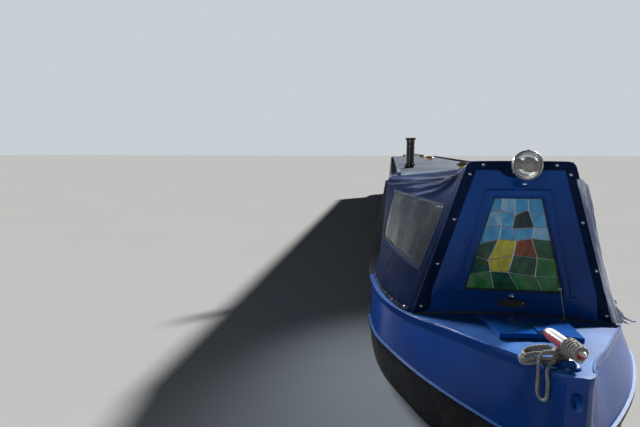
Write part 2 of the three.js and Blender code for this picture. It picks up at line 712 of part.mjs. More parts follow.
// Fore-end board: a trapezium standing on the cambered deck, its window cut through
function boardHalf(z) {
  return mix(BOARD_FOOT_HALF, BOARD_TOP_HALF, (z - BOARD_FOOT_Z) / BOARD_HEIGHT);
}

function paneOutline(grow) {
  return [
    [-PANE_FOOT_HALF - grow, PANE_FOOT_Z - grow], [PANE_FOOT_HALF + grow, PANE_FOOT_Z - grow],
    [PANE_TOP_HALF + grow, PANE_TOP_Z + grow], [-PANE_TOP_HALF - grow, PANE_TOP_Z + grow],
  ];
}

function cratchBoard() {
  const deckHalf = hullAt(BOARD_X).deck;
  const foot = CAMBER_STEPS.map((f) =>
    [f * BOARD_FOOT_HALF, deckZ(BOARD_X, (f * BOARD_FOOT_HALF) / deckHalf) + GAP + 1]);
  const top = BOARD_FOOT_Z + BOARD_HEIGHT;
  const outline = [...foot, [BOARD_TOP_HALF, top], [-BOARD_TOP_HALF, top]];
  const plate = alongX(outline, BOARD_X - BOARD_THICK, BOARD_X);
  const moulding = alongX(paneOutline(MOULDING_WIDTH), BOARD_X - 2, BOARD_X + MOULDING_OUT);
  const sillFoot = PANE_FOOT_Z - MOULDING_WIDTH;
  const { half, out, height } = SILL;
  const sill = box([BOARD_X - 2, BOARD_X + out], [-half, half], [sillFoot, sillFoot + height]);
  return join(plate, moulding, sill).subtract(alongX(paneOutline(0), BOARD_X - 100, BOARD_X + 100));
}

// Canvas cover, drawn out from the board's outline to the cabin front's, to the inside of the cloth
const COVER_ENDS = {
  front: {
    shoulder: BOARD_TOP_HALF + 2,
    shoulderZ: BOARD_FOOT_Z + BOARD_HEIGHT + 1,
    ridgeZ: BOARD_FOOT_Z + BOARD_HEIGHT + 2,
  },
  rear: { shoulder: CABIN_TOP_Y + 17, shoulderZ: 2044, ridgeZ: 2105 },
};
const COVER_LAP = 60;

function coverRow(x) {
  const t = Math.min(1, Math.max(0, (BOARD_X - BOARD_THICK - x) / (BOARD_X - BOARD_THICK - CABIN_FRONT_X)));
  const h = hullAt(x);
  const byCabin = CABIN_FOOT_Y + 12 + Math.max(0, x - CABIN_FRONT_X) * 0.12;
  const foot = x > BOARD_X - BOARD_THICK - 1 ? BOARD_FOOT_HALF + 3 : Math.min(h.deck - 30, byCabin);
  const footZ = x >= BOW_END_X ? deckZ(x, foot / h.deck) + 1.5 : h.sheer + 0.6;
  const { front, rear } = COVER_ENDS;
  return {
    x, foot, footZ,
    shoulder: mix(front.shoulder, rear.shoulder, t),
    shoulderZ: mix(front.shoulderZ, rear.shoulderZ, t),
    ridgeZ: mix(front.ridgeZ, rear.ridgeZ, t),
  };
}

const COVER = [
  BOARD_X + 1 + BAND_THICK, BOARD_X - BOARD_THICK, BOW_END_X,
  ...stationsBetween(BOW_END_X - 1, CABIN_FRONT_X + 300), CABIN_FRONT_X, CABIN_FRONT_X - COVER_LAP,
].map(coverRow);

function coverShell(grow, xShift) {
  return loft(COVER.map((row, i) => {
    const x = row.x + (i === 0 ? xShift : i === COVER.length - 1 ? -xShift : 0);
    const drop = grow > 0 ? 0 : 20;
    const lean = (row.foot - row.shoulder) / (row.shoulderZ - row.footZ);
    const half = [
      [row.foot + grow + lean * drop, row.footZ - drop],
      [row.shoulder + grow, row.shoulderZ + grow * 0.6],
      [row.shoulder * 0.5, mix(row.shoulderZ, row.ridgeZ, 0.7) + grow],
      [0, row.ridgeZ + grow],
    ];
    const other = half.slice(0, -1).map(([y, z]) => [-y, z]).reverse();
    return [...half, ...other].map(([y, z]) => [x, y, z]);
  }));
}

const COVER_PANE = { x: [CABIN_FRONT_X + 240, BOARD_X - 130], z: [1490, 1930] };

function coverPaneHole(shrink) {
  const { x, z } = COVER_PANE;
  return box([x[0] + shrink, x[1] - shrink], [-BEAM_LIMIT, BEAM_LIMIT], [z[0] + shrink, z[1] - shrink]);
}

function coverCloth() {
  return coverShell(CANVAS, 0).subtract(coverShell(0, 10));
}

// The front hem of the cover laps over the board's edges, with a flap round the lamp
function cratchCover() {
  const [foot, top] = [BOARD_FOOT_Z + 45, BOARD_FOOT_Z + BOARD_HEIGHT + 2 + CANVAS];
  const outer = [
    [-boardHalf(foot) - 10, foot], [boardHalf(foot) + 10, foot],
    [BOARD_TOP_HALF + 8, top - 6], [0, top], [-BOARD_TOP_HALF - 8, top - 6],
  ];
  const under = top - BAND_WIDTH;
  const knee = foot + 160;
  const half = [
    [boardHalf(foot) - BAND_FOOT_WIDTH, foot - 10], [boardHalf(knee) - BAND_WIDTH, knee],
    [boardHalf(under) - BAND_WIDTH, under], [112, under], [84, under - 46],
  ];
  const inner = [...half, ...half.map(([y, z]) => [-y, z]).reverse()];
  const band = alongX(outer, BOARD_X + 1, BOARD_X + 1 + BAND_THICK)
    .subtract(alongX(inner, BOARD_X - 10, BOARD_X + 20));
  return join(coverCloth().subtract(coverPaneHole(0)), band);
}

function coverPane(side) {
  const half = side > 0 ? [0, BEAM_LIMIT] : [-BEAM_LIMIT, 0];
  return coverCloth().intersect(coverPaneHole(GAP)).intersect(box([0, 9000], half, [0, 3000]));
}

// The ridge plank runs from the board's top to the cabin front under the cover
function cratchPlank() {
  const [rear, front] = [CABIN_FRONT_X, BOARD_X - BOARD_THICK];
  const [rearZ, frontZ] = [EAVES_Z + 66, BOARD_FOOT_Z + BOARD_HEIGHT - 6];
  return alongY([[rear, rearZ - 26], [front, frontZ - 26], [front, frontZ], [rear, rearZ]], -95, 95);
}

function lampBracket() {
  const [footZ, topZ] = [PANE_TOP_Z + 55, PANE_TOP_Z + 91];
  const pad = box([BOARD_X + GAP, BOARD_X + 16], [-30, 30], [footZ, topZ]);
  const seatZ = LAMP_Z - 93;
  const arm = alongY([
    [BOARD_X + 10, footZ + 6], [LAMP_X - 8, seatZ - 22], [LAMP_X - 8, seatZ - 8], [BOARD_X + 10, topZ - 6],
  ], -18, 18);
  const post = rod(13, 24, [LAMP_X - 23, 0, seatZ - 24]);
  return join(pad, arm, post);
}

function lampShell() {
  const bowl = [
    [0, -98], [30, -92], [62, -70], [86, -34], [94, 0], [LAMP_R, 2], [LAMP_R, 26], [92, 30],
    [88, 22], [78, -20], [50, -58], [0, -76], [0, -98],
  ];
  return turned(bowl.slice(0, -1), [LAMP_X - 4, 0, LAMP_Z], 32, 'x');
}

function lampLens() {
  return turned([[0, 0], [87, 0], [87, 6], [60, 14], [0, 18]], [LAMP_X + 14, 0, LAMP_Z], 32, 'x');
}

// Round sections along a line, each row [along the horn, height, radius], set out from the stud
function spindle(rows, sides) {
  const yaw = THREE.MathUtils.degToRad(HORN_YAW);
  return loft(rows.map(([along, z, r]) => {
    const ring = [];
    for (let i = 0; i < sides; i++) {
      const turn = (2 * Math.PI * i) / sides;
      const across = r * Math.cos(turn);
      const x = STUD_X + along * Math.cos(yaw) - across * Math.sin(yaw);
      ring.push([x, along * Math.sin(yaw) + across * Math.cos(yaw), z + r * Math.sin(turn)]);
    }
    return ring;
  }));
}

// The stud's horn lies fore and aft, turned a little to port, and its foot is cut to the deck
function studPost(grow) {
  const deck = deckZ(STUD_X, 0);
  return turned([
    [0, -14], [STUD_FOOT_R + grow, -14], [STUD_FOOT_R + grow, 10 + grow], [POST_R + grow, 16 + grow],
    [POST_R + grow, HORN_Z - deck], [0, HORN_Z - deck],
  ], [STUD_X, 0, deck], 20);
}

// One half of the horn, from its middle out: along, rise and radius
const HORN_HALF = [[0, 0, HORN_R], [50, 0, 29], [100, 3, 26], [132, 5, 20], [146, 6, 15], [154, 7, 8]];

function studHorn(grow) {
  const fore = HORN_HALF.map(([along, rise, r]) => [along, HORN_Z + rise, r + grow]);
  const aft = fore.slice(1).map(([along, z, r]) => [-along, z, r]).reverse();
  return spindle([...aft, ...fore], 16);
}

function tStud() {
  return join(studPost(0), studHorn(0)).subtract(bow().translate([0, 0, GAP]));
}

// The rope's turns: round the post under the horn, round the horn's fore arm, and a flattened hank
// of loops that lies out over the starboard deck edge
const WRAP_FROM = 34;
const WRAP_TO = 128;
const HANK = { from: [8398, -28, 1356], to: [8350, -196, 1328], half: [44, 36] };

function ropeTurns() {
  const wrapR = HORN_R + 2 * ROPE_R + 1;
  const sleeve = spindle([[WRAP_FROM, HORN_Z + 1, wrapR], [WRAP_TO, HORN_Z + 4, wrapR - 7]], 16);
  const foot = deckZ(STUD_X, 0) + 17;
  const round = rod(POST_R + 2 * ROPE_R + 2, HORN_Z - HORN_R - foot, [STUD_X, 0, foot], 20);
  const { from, to, half } = HANK;
  const rows = [[0, 0.55], [0.12, 0.9], [0.4, 1], [0.75, 1], [0.93, 0.8], [1, 0.45]];
  const sections = rows.map(([t, share]) => {
    const ring = [];
    for (let i = 0; i < 14; i++) {
      const turn = (2 * Math.PI * i) / 14;
      ring.push([
        mix(from[0], to[0], t) + share * half[0] * Math.cos(turn),
        mix(from[1], to[1], t),
        mix(from[2], to[2], t) + share * half[1] * Math.sin(turn),
      ]);
    }
    return ring.map(([x, y, z]) => [y, x, z]);
  });
  const swapXY = new THREE.Matrix4().set(0, 1, 0, 0, 1, 0, 0, 0, 0, 0, 1, 0, 0, 0, 0, 1);
  const hank = loft(sections).transform(swapXY.toArray());
  return join(sleeve, round, hank)
    .subtract(studHorn(GAP))
    .subtract(studPost(GAP))
    .subtract(bow().translate([0, 0, GAP]))
    .subtract(bow().translate([0, -GAP, 0]));
}

// One bight of the rope hangs from the hank down the starboard bow
const BIGHT = [
  [8420, -66, 1350], [8434, -86, 1338], [8443, -106, 1332], [8449, -122, 1325], [8451, -131, 1308],
  [8452, -133, 1280], [8453, -132, 1245], [8456, -130, 1212], [8464, -126, 1186], [8479, -120, 1174],
  [8494, -114, 1183], [8504, -110, 1206], [8508, -107, 1240], [8506, -108, 1274], [8500, -111, 1302],
  [8492, -110, 1324], [8480, -98, 1337], [8465, -83, 1343], [8449, -69, 1348], [8430, -56, 1353],
];

function ropeBight() {
  return tube(BIGHT, ROPE_R, 8, 40).subtract(ropeTurns().translate([0, -GAP, 0])).subtract(ropeTurns());
}

function chimney(x, y) {
  const foot = roofZ(y) + ROOF_EDGE + GAP;
  const profile = [
    [0, 6], [92, 6], [92, 16], [76, 22], [76, 62], [55, 68], [55, 400], [71, 404],
    [71, 430], [47, 430], [47, 90], [0, 90],
  ];
  const pot = turned(profile, [x, y, foot - 6], 24);
  return pot.subtract(roofCut());
}

// Everything below the roof's top face, grown by the gap, so that roof fittings sit on the camber
function roofCut() {
  const half = CABIN_TOP_Y + ROOF_LIP;
  const upper = ROOF_STEPS.map((f) => [f * half, roofZ(f * CABIN_TOP_Y) + ROOF_EDGE + GAP]);
  return alongX([[-half, 1900], [half, 1900], ...upper.reverse()], STERN_X, BOW_TIP_X);
}

function vent(x) {
  const profile = [[0, -20], [50, -20], [50, 40], [84, 44], [88, 56], [70, 76], [36, 88], [0, 92]];
  return turned(profile, [x, 0, roofZ(0) + ROOF_EDGE], 20).subtract(roofCut());
}

function sternFender() {
  const { half, z } = FENDER;
  const round = 260;
  const outline = [];
  for (let i = 0; i <= 12; i++) {
    const turn = -Math.PI / 2 + (Math.PI * i) / 12;
    outline.push([STERN_X + round * (1 - Math.cos(turn)), half * Math.sin(turn)]);
  }
  outline.push([COUNTER_END_X + round, half], [COUNTER_END_X + round, -half]);
  return alongZ(outline, z[0], z[1]).subtract(alongZ(counterOutline(CABIN_REAR_X, GAP), 500, 1300));
}

add('baseplate', baseplate(), 'black');
add('bow', bow(), 'blue');
add('side_starboard', hullSide(-1), 'black');
add('side_port', hullSide(1), 'black');
add('swim', swim(), 'black');
add('uxter_plate', uxterPlate(), 'black');
add('counter', counter(), 'black');
add('skeg', skeg(), 'black');
add('stern_tube', sternTube(), 'bronze');
add('engine_block', engine(), 'grey');
add('well_floor', wellFloor(), 'grey');
add('cabin_floor', cabinFloor(), 'wood');
add('front_bulkhead', frontBulkhead(), 'blue');
add('rear_bulkhead', rearBulkhead(), 'blue');
add('cabin_side_starboard', cabinSide(-1), 'blue');
add('cabin_side_port', cabinSide(1), 'blue');
add('roof', roof(), 'roof');
WINDOW_CENTRES.forEach((centre, i) => {
  add(`window_starboard_${i + 1}`, windowGlass(-1, centre), 'glass');
  add(`window_port_${i + 1}`, windowGlass(1, centre), 'glass');
});
add('cratch_board', cratchBoard(), 'blue');
add('cratch_glass', alongX(paneOutline(-GAP), BOARD_X - 16, BOARD_X - 10), 'glass');
add('cratch_plank', cratchPlank(), 'wood');
add('cratch_cover', cratchCover(), 'navy');
add('cover_window_starboard', coverPane(-1), 'glass');
add('cover_window_port', coverPane(1), 'glass');
add('lamp_bracket', lampBracket(), 'steel');
add('lamp_shell', lampShell(), 'steel');
add('lamp_lens', lampLens(), 'glass');
add('stem_eye', stemEye(), 'blue');
add('t_stud', tStud(), 'white');
add('bow_rope', ropeTurns(), 'rope');
add('bow_rope_bight', ropeBight(), 'rope');
add('chimney', chimney(...CHIMNEY_PLACE), 'black');
VENT_CENTRES.forEach((x, i) => add(`roof_vent_${i + 1}`, vent(x), 'brass'));
add('stern_fender', sternFender(), 'rope');
add('rudder', rudder(), 'black');
add('tiller_neck', tillerNeck(), 'white');
add('tiller_bar', tillerBar(), 'brass');
add('propeller', propeller(), 'bronze');
for (const [name, side] of [['starboard', -1], ['port', 1]]) {
  const front = doorLeaf(CABIN_FRONT_X, 1, side, FRONT_DOOR_HALF, FRONT_DOOR_FOOT_Z, FRONT_DOOR_TOP_Z);
  const rear = doorLeaf(CABIN_REAR_X, -1, side, REAR_DOOR_HALF, REAR_DOOR_FOOT_Z, REAR_DOOR_TOP_Z);
  add(`front_door_${name}`, front, 'blue');
  add(`rear_door_${name}`, rear, 'blue');
}
add('slide_hatch', slideHatch(), 'blue');
add('locker_lid', lockerLid(), 'blue');

export default boat;
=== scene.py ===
"""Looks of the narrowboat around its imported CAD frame. Metres, +X to the bow, +Y to port, +Z up."""
import math
import random

import bmesh
import bpy
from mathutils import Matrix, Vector, noise


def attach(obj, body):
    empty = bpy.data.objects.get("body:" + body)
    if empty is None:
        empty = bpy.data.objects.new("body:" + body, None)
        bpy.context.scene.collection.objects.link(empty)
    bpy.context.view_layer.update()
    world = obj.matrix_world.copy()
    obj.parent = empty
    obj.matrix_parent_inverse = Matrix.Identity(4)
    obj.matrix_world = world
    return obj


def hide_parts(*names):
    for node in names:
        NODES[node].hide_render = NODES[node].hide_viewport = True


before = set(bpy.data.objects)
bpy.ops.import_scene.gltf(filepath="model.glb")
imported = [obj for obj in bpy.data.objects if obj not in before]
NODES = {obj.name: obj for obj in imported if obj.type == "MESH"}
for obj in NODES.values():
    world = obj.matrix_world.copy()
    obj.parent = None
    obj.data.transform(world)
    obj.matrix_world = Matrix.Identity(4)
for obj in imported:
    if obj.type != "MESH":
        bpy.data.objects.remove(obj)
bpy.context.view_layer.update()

MM = 0.001
TAU = 2 * math.pi
SIDES = {"starboard": -1, "port": 1}
# Corners nearer than this, in metres, are joined
WELD_GAP = 2e-6
# Every look by its short name, as make_looks fills them in
LOOKS = {}
X_AXIS, Y_AXIS, Z_AXIS = Vector((1, 0, 0)), Vector((0, 1, 0)), Vector((0, 0, 1))

# Lengths in millimetres, the same as in the part's source
STEM_X = 8560
BOARD_X = 7450
BOARD_THICK = 28
BOARD_FOOT_Z = 1165
BOARD_HEIGHT = 1080
BOARD_TOP_HALF = 326
BOARD_FOOT_HALF = 657
BOW_END_X = 7400
CABIN_FRONT_X = 5910
CABIN_REAR_X = -7050
GUNWALE_Z = 1120
CABIN_FOOT_Y = 925
CABIN_TOP_Y = 840
EAVES_Z = 2020
PANE_FOOT_Z = 1370
PANE_TOP_Z = 2013
PANE_FOOT_HALF = 322
PANE_TOP_HALF = 155
DECK_CAMBER = 42

# The floor's height, in metres
WATERLINE = 0.55

STATION_COLUMNS = ("aft", "deck", "guard", "base", "sheer", "guard_z")
STATIONS = [dict(zip(STATION_COLUMNS, row)) for row in (
    (0, 45, 50, 40, 1328, 910),
    (20, 72, 80, 66, 1327, 908),
    (50, 92, 104, 86, 1324, 900),
    (130, 122, 145, 114, 1314, 894),
    (250, 179, 245, 168, 1297, 890),
    (480, 328, 425, 300, 1262, 882),
    (780, 502, 625, 474, 1218, 872),
    (1110, 690, 795, 650, 1165, 862),
    (1160, 716, 818, 676, 1159, 860),
    (1400, 826, 910, 786, 1141, 846),
    (1750, 928, 975, 888, 1128, 815),
    (2200, 994, 1012, 954, 1121, 760),
    (2570, 1022, 1020, 985, 1120, 715),
    (15610, 1022, 1020, 985, 1120, 715),
)]


def mix(a, b, t):
    return a + (b - a) * t


def smooth(t):
    t = min(1.0, max(0.0, t))
    return t * t * (3 - 2 * t)


def spaced(first, last, pieces):
    """Even steps from first to last, both kept"""
    return [mix(first, last, k / pieces) for k in range(pieces + 1)]


def slope_at(i, key):
    """The slope of one column of STATIONS at a row, held back so that the curve doesn't overshoot"""
    def rise(a, b):
        return (b[key] - a[key]) / (b["aft"] - a["aft"])

    if i == 0:
        return rise(STATIONS[0], STATIONS[1])
    if i == len(STATIONS) - 1:
        return 0
    before = rise(STATIONS[i - 1], STATIONS[i])
    after = rise(STATIONS[i], STATIONS[i + 1])
    return 2 * before * after / (before + after) if before * after > 0 else 0


def hull_at(x):
    """The hull's half-breadths and heights at a place along X, in millimetres"""
    aft = STEM_X - x
    i = next((k for k, row in enumerate(STATIONS) if k and row["aft"] >= aft), len(STATIONS) - 1)
    a, b = STATIONS[i - 1], STATIONS[i]
    span = b["aft"] - a["aft"]
    t = (aft - a["aft"]) / span
    out = {}
    for key in STATION_COLUMNS:
        lift = t * (1 - t) ** 2 * slope_at(i - 1, key) - t * t * (1 - t) * slope_at(i, key)
        out[key] = mix(a[key], b[key], smooth(t)) + span * lift
    return out


def deck_z(x, y=0.0):
    """The bow deck's height, which falls from its middle to its edges"""
    h = hull_at(x)
    share = y / h["deck"]
    return h["sheer"] + min(DECK_CAMBER, h["deck"] * 0.09) * (1 - share * share)


def board_half(z):
    """Half-breadth of the fore-end board at a height"""
    return mix(BOARD_FOOT_HALF, BOARD_TOP_HALF, (z - BOARD_FOOT_Z) / BOARD_HEIGHT)


def wall_y(z):
    """Half-breadth of the cabin sides at a height"""
    return mix(CABIN_FOOT_Y, CABIN_TOP_Y, (z - GUNWALE_Z) / (EAVES_Z - GUNWALE_Z))


def link(name, data):
    """A new object on a mesh, lamp or camera"""
    made = bpy.data.objects.new(name, data)
    bpy.context.scene.collection.objects.link(made)
    return made


def aimed(way):
    """The turn that points a camera or lamp along a direction"""
    return Vector(way).to_track_quat("-Z", "Y").to_euler()


# The photo's camera, solved from the fore-end board
CAMERA_PLACE = (10.552, -0.837, 2.327)
CAMERA_AHEAD = (-0.9775, -0.1555, -0.1423)
CAMERA_LENS = 25.03


def make_camera():
    data = bpy.data.cameras.new("photo_camera")
    data.sensor_fit = "HORIZONTAL"
    data.sensor_width = 36.0
    data.lens = CAMERA_LENS
    data.clip_end = 300
    camera = link("photo_camera", data)
    camera.location = CAMERA_PLACE
    camera.rotation_euler = aimed(CAMERA_AHEAD)
    bpy.context.scene.camera = camera


# Materials

class Nodes:
    """Short ways to add and join a node tree's nodes"""

    def __init__(self, tree):
        self.tree = tree

    def fill(self, node, inputs):
        """Gives each input a number, or links another node's output to it"""
        for key, value in inputs.items():
            if isinstance(value, bpy.types.NodeSocket):
                self.tree.links.new(value, node.inputs[key])
            else:
                node.inputs[key].default_value = value

    def node(self, kind, inputs, **settings):
        made = self.tree.nodes.new(kind)
        for key, value in settings.items():
            setattr(made, key, value)
        self.fill(made, inputs)
        return made

    def mix(self, share, a, b):
        ends = [c if isinstance(c, bpy.types.NodeSocket) else (*c, 1) for c in (a, b)]
        inputs = {0: share, 6: ends[0], 7: ends[1]}
        return self.node("ShaderNodeMix", inputs, data_type="RGBA", clamp_factor=True).outputs[2]

    def split(self, vector):
        return self.node("ShaderNodeSeparateXYZ", {0: vector}).outputs

    def coordinates(self, kind):
        return self.node("ShaderNodeTexCoord", {}).outputs[kind]


class Paint(Nodes):
    """A material with one main shader and helpers for its textures"""

    def __init__(self, name):
        self.mat = bpy.data.materials.new(name)
        self.mat.use_nodes = True
        super().__init__(self.mat.node_tree)
        self.tree.nodes.clear()
        self.shader = self.node("ShaderNodeBsdfPrincipled", {})
        self.node("ShaderNodeOutputMaterial", {0: self.shader.outputs[0]})
        self.coords = self.coordinates("Object")

    def finish(self, **values):
        self.fill(self.shader, {key.replace("_", " "): value for key, value in values.items()})
        return self.mat

    def stretched(self, scale=(1, 1, 1), turn=(0, 0, 0)):
        inputs = {"Vector": self.coords, "Scale": scale, "Rotation": turn}
        return self.node("ShaderNodeMapping", inputs).outputs[0]

    def noise(self, scale, detail, rough, stretch=(1, 1, 1), turn=(0, 0, 0), distortion=0.0):
        inputs = {"Vector": self.stretched(stretch, turn), "Scale": scale, "Detail": detail,
                  "Roughness": rough, "Distortion": distortion}
        return self.node("ShaderNodeTexNoise", inputs).outputs["Fac"]

    def wave(self, scale, axis, distortion, stretch=(1, 1, 1)):
        inputs = {"Vector": self.stretched(stretch), "Scale": scale, "Distortion": distortion,
                  "Detail": 2.0, "Detail Scale": 1.5}
        return self.node("ShaderNodeTexWave", inputs, bands_direction=axis).outputs["Fac"]

    def cells(self, scale):
        inputs = {"Vector": self.stretched(), "Scale": scale}
        return self.node("ShaderNodeTexVoronoi", inputs).outputs["Distance"]

    def band(self, value, low, high, to_low=0.0, to_high=1.0, shape="SMOOTHSTEP"):
        """A value between low and high carried over to the range from to_low to to_high"""
        inputs = {0: value, 1: low, 2: high, 3: to_low, 4: to_high}
        made = self.node("ShaderNodeMapRange", inputs, clamp=True, interpolation_type=shape)
        return made.outputs[0]

    def curve(self, value, points):
        """A value read off a curve through points of (value, result), both from 0 to 1"""
        made = self.node("ShaderNodeFloatCurve", {"Value": value})
        line = made.mapping.curves[0]
        for spot, place in zip((line.points[0], line.points[-1]), (points[0], points[-1])):
            spot.location = place
        for a, b in points[1:-1]:
            line.points.new(a, b)
        made.mapping.update()
        return made.outputs[0]

    def math(self, kind, a, b, clamp=False):
        return self.node("ShaderNodeMath", {0: a, 1: b}, operation=kind, use_clamp=clamp).outputs[0]

    def times(self, a, b):
        return self.math("MULTIPLY", a, b)

    def plus(self, a, b):
        return self.math("ADD", a, b)

    def minus(self, a, b, clamp=False):
        return self.math("SUBTRACT", a, b, clamp)

    def over(self, base, top, texture, low, high, most=1.0):
        """One colour laid over another where a texture's value rises from low to high"""
        return self.mix(self.band(texture, low, high, 0.0, most), base, top)

    def place(self):
        """The piece's own X, Y and Z, in metres"""
        return self.split(self.coords)

    def facing(self, axis):
        """How far the surface faces along an axis: 1 with it, 0 square to it, -1 against it"""
        return self.split(self.node("ShaderNodeNewGeometry", {}).outputs["Normal"])[axis]

    def bump(self, height, strength, distance, onto=None):
        inputs = {"Strength": strength, "Distance": distance, "Height": height}
        if onto is not None:
            inputs["Normal"] = onto
        return self.node("ShaderNodeBump", inputs).outputs[0]

    def waver(self, scale, detail, rough, size):
        """A small drift to either side, which keeps a painted edge from being ruled"""
        return self.times(self.minus(self.noise(scale, detail, rough), 0.5), size)

    def gloss(self, light, dark):
        """The slow drift of brushed gloss paint, and its colour"""
        drift = self.noise(1.3, 3, 0.5, turn=(0.3, 0.2, 0.5))
        return drift, self.over(dark, light, drift, 0.32, 0.7)

    def between(self, value, low, high, edge):
        """1 from low to high and 0 outside them, soft over an edge that lies inside the pair"""
        return self.times(self.band(value, low, low + edge), self.band(value, high, high - edge))


def scaled(colour, share):
    return tuple(min(1, c * share) for c in colour)


def gloss_paint(name, light, dark, rough=0.2, coat=0.06):
    """Hand-brushed gloss paint: slow colour drift, brush marks, dust and a few chips"""
    p = Paint(name)
    drift, colour = p.gloss(light, dark)
    dusty = p.noise(6.5, 6, 0.65, distortion=0.4)
    colour = p.over(colour, (0.16, 0.17, 0.17), dusty, 0.56, 0.8, 0.1)
    colour = p.over(colour, (0.22, 0.2, 0.17), p.noise(130, 2, 0.5), 0.745, 0.775)
    strokes = p.noise(42, 3, 0.6, stretch=(1, 1, 0.12))
    level = p.bump(p.noise(7, 2, 0.4), 0.12, 0.006)
    return p.finish(Base_Color=colour, Roughness=p.band(drift, 0.2, 0.8, rough * 0.75, rough * 1.5),
                    Normal=p.bump(strokes, 0.35, 0.0004, level), Coat_Weight=coat, Coat_Roughness=0.12,
                    Specular_IOR_Level=0.14)


# The coach lines on the cabin sides, in metres: ends of the three panels, their height, the line's width
PANEL_ENDS = ((-6.85, -2.25), (-2.1, 2.95), (3.1, 5.7))
PANEL_FOOT, PANEL_TOP = 1.20, 1.965
COACH_LINE = 0.007


def coach_paint(name, light, dark, line):
    """The cabin sides' gloss with coach lines round three long panels, and boards on their inside"""
    p = Paint(name)
    drift, colour = p.gloss(light, dark)
    x, _, z = p.place()
    z = p.plus(z, p.waver(9, 2, 0.5, 0.002))
    lines = None
    for left, right in PANEL_ENDS:
        outer, inner = (p.times(p.between(x, left + grow, right - grow, 0.001),
                                p.between(z, PANEL_FOOT + grow, PANEL_TOP - grow, 0.001))
                        for grow in (0.0, COACH_LINE))
        ring = p.minus(outer, inner, clamp=True)
        lines = ring if lines is None else p.math("MAXIMUM", lines, ring)
    worn = p.band(p.noise(24, 5, 0.7), 0.4, 0.55, 0.5, 1.0)
    colour = p.mix(p.times(lines, worn), colour, line)
    streaks = p.noise(8, 5, 0.6, stretch=(1, 1, 0.07))
    colour = p.over(colour, (0.12, 0.13, 0.15), streaks, 0.52, 0.8, 0.16)
    grain = p.noise(30, 5, 0.6, stretch=(1, 1, 0.08), distortion=0.8)
    boards = p.over((0.36, 0.22, 0.11), (0.5, 0.33, 0.18), grain, 0.35, 0.65)
    boards = p.over(boards, (0.08, 0.045, 0.02), p.math("PINGPONG", x, 0.05), 0.002, 0.0005)
    colour = p.over(colour, boards, p.times(p.facing(1), p.place()[1]), -0.1, -0.3)
    strokes = p.noise(42, 3, 0.6, stretch=(0.12, 1, 1))
    level = p.bump(p.noise(4, 2, 0.4), 0.12, 0.008)
    return p.finish(Base_Color=colour, Roughness=p.band(drift, 0.2, 0.8, 0.16, 0.3),
                    Normal=p.bump(strokes, 0.3, 0.0004, level), Coat_Weight=0.06, Coat_Roughness=0.12,
                    Specular_IOR_Level=0.18)


# Height of the guard along the hull, in metres: above it the bow is blue
GUARD_LINE = ((5.99, 0.715), (6.36, 0.76), (6.81, 0.815), (7.16, 0.846), (7.45, 0.862), (7.78, 0.872),
              (8.08, 0.882), (8.31, 0.89), (8.43, 0.894), (8.51, 0.90), (8.56, 0.91))
GUARD_RANGE = (0.70, 0.92)
BLUE_END_X = 6.30


def bow_paint(name):
    """Royal blue above the rubbing strake and black below it, with the up-facing deck painted paler as a
    painted sheen of sun and sky
    """
    p = Paint(name)
    x, _, z = p.place()
    (low, high), first, last = GUARD_RANGE, GUARD_LINE[0][0], GUARD_LINE[-1][0]
    points = [((px - first) / (last - first), (pz - low) / (high - low)) for px, pz in GUARD_LINE]
    guard = p.curve(p.band(x, first, last, shape="LINEAR"), points)
    height = p.minus(z, p.band(guard, 0, 1, low, high, "LINEAR"))
    drop = p.minus(GUNWALE_Z * MM, z)
    swept = p.minus(x, p.times(p.times(drop, drop), 2.4))
    fore = p.band(swept, BLUE_END_X, BLUE_END_X + 0.004)
    above = p.times(p.band(p.plus(height, p.waver(22, 4, 0.6, 0.02)), 0.010, 0.016), fore)
    blue = p.over((0.002, 0.032, 0.17), (0.004, 0.05, 0.27), p.noise(1.6, 3, 0.5), 0.3, 0.7)
    blue = p.over(blue, (0.07, 0.08, 0.13), p.noise(6, 6, 0.62, distortion=0.5), 0.54, 0.78, 0.10)
    black = p.over((0.008, 0.008, 0.009), (0.028, 0.027, 0.026), p.noise(9, 6, 0.7), 0.45, 0.7)
    black = p.over(black, (0.13, 0.12, 0.11), p.noise(30, 5, 0.7, stretch=(0.18, 1, 3.0)), 0.60, 0.70, 0.6)
    colour = p.mix(above, black, blue)
    edge = p.times(p.band(height, -0.030, -0.016), p.band(height, 0.022, 0.016))
    rubbed = p.band(p.noise(26, 6, 0.75, stretch=(0.5, 1, 1)), 0.6, 0.7, 0, 0.8)
    colour = p.mix(p.times(edge, rubbed), colour, (0.17, 0.16, 0.15))
    # Painted sheen: the up-facing deck gets a paler blue than the sides, standing in for sun and sky light
    # on it, with paler spots
    level_face = p.times(p.band(p.facing(2), 0.82, 0.93), above)
    deck = p.over((0.006, 0.052, 0.2), (0.014, 0.092, 0.3), p.noise(4, 5, 0.6), 0.35, 0.65)
    deck = p.over(deck, (0.07, 0.14, 0.27), p.noise(26, 5, 0.7), 0.56, 0.72, 0.25)
    colour = p.mix(level_face, colour, deck)
    colour = p.over(colour, (0.035, 0.038, 0.02), z, WATERLINE + 0.05, WATERLINE - 0.02, 0.8)
    rough = p.plus(p.band(above, 0, 1, 0.5, 0.2), p.times(level_face, 0.4))
    level = p.bump(p.noise(5.5, 2, 0.4), 0.16, 0.01)
    strokes = p.bump(p.noise(40, 3, 0.6, stretch=(0.15, 1, 1)), 0.3, 0.0004, level)
    grit = p.times(p.noise(420, 2, 0.6), level_face)
    return p.finish(Base_Color=colour, Roughness=rough, Normal=p.bump(grit, 0.7, 0.0008, strokes),
                    Coat_Weight=0.05, Coat_Roughness=0.14, Specular_IOR_Level=0.15)


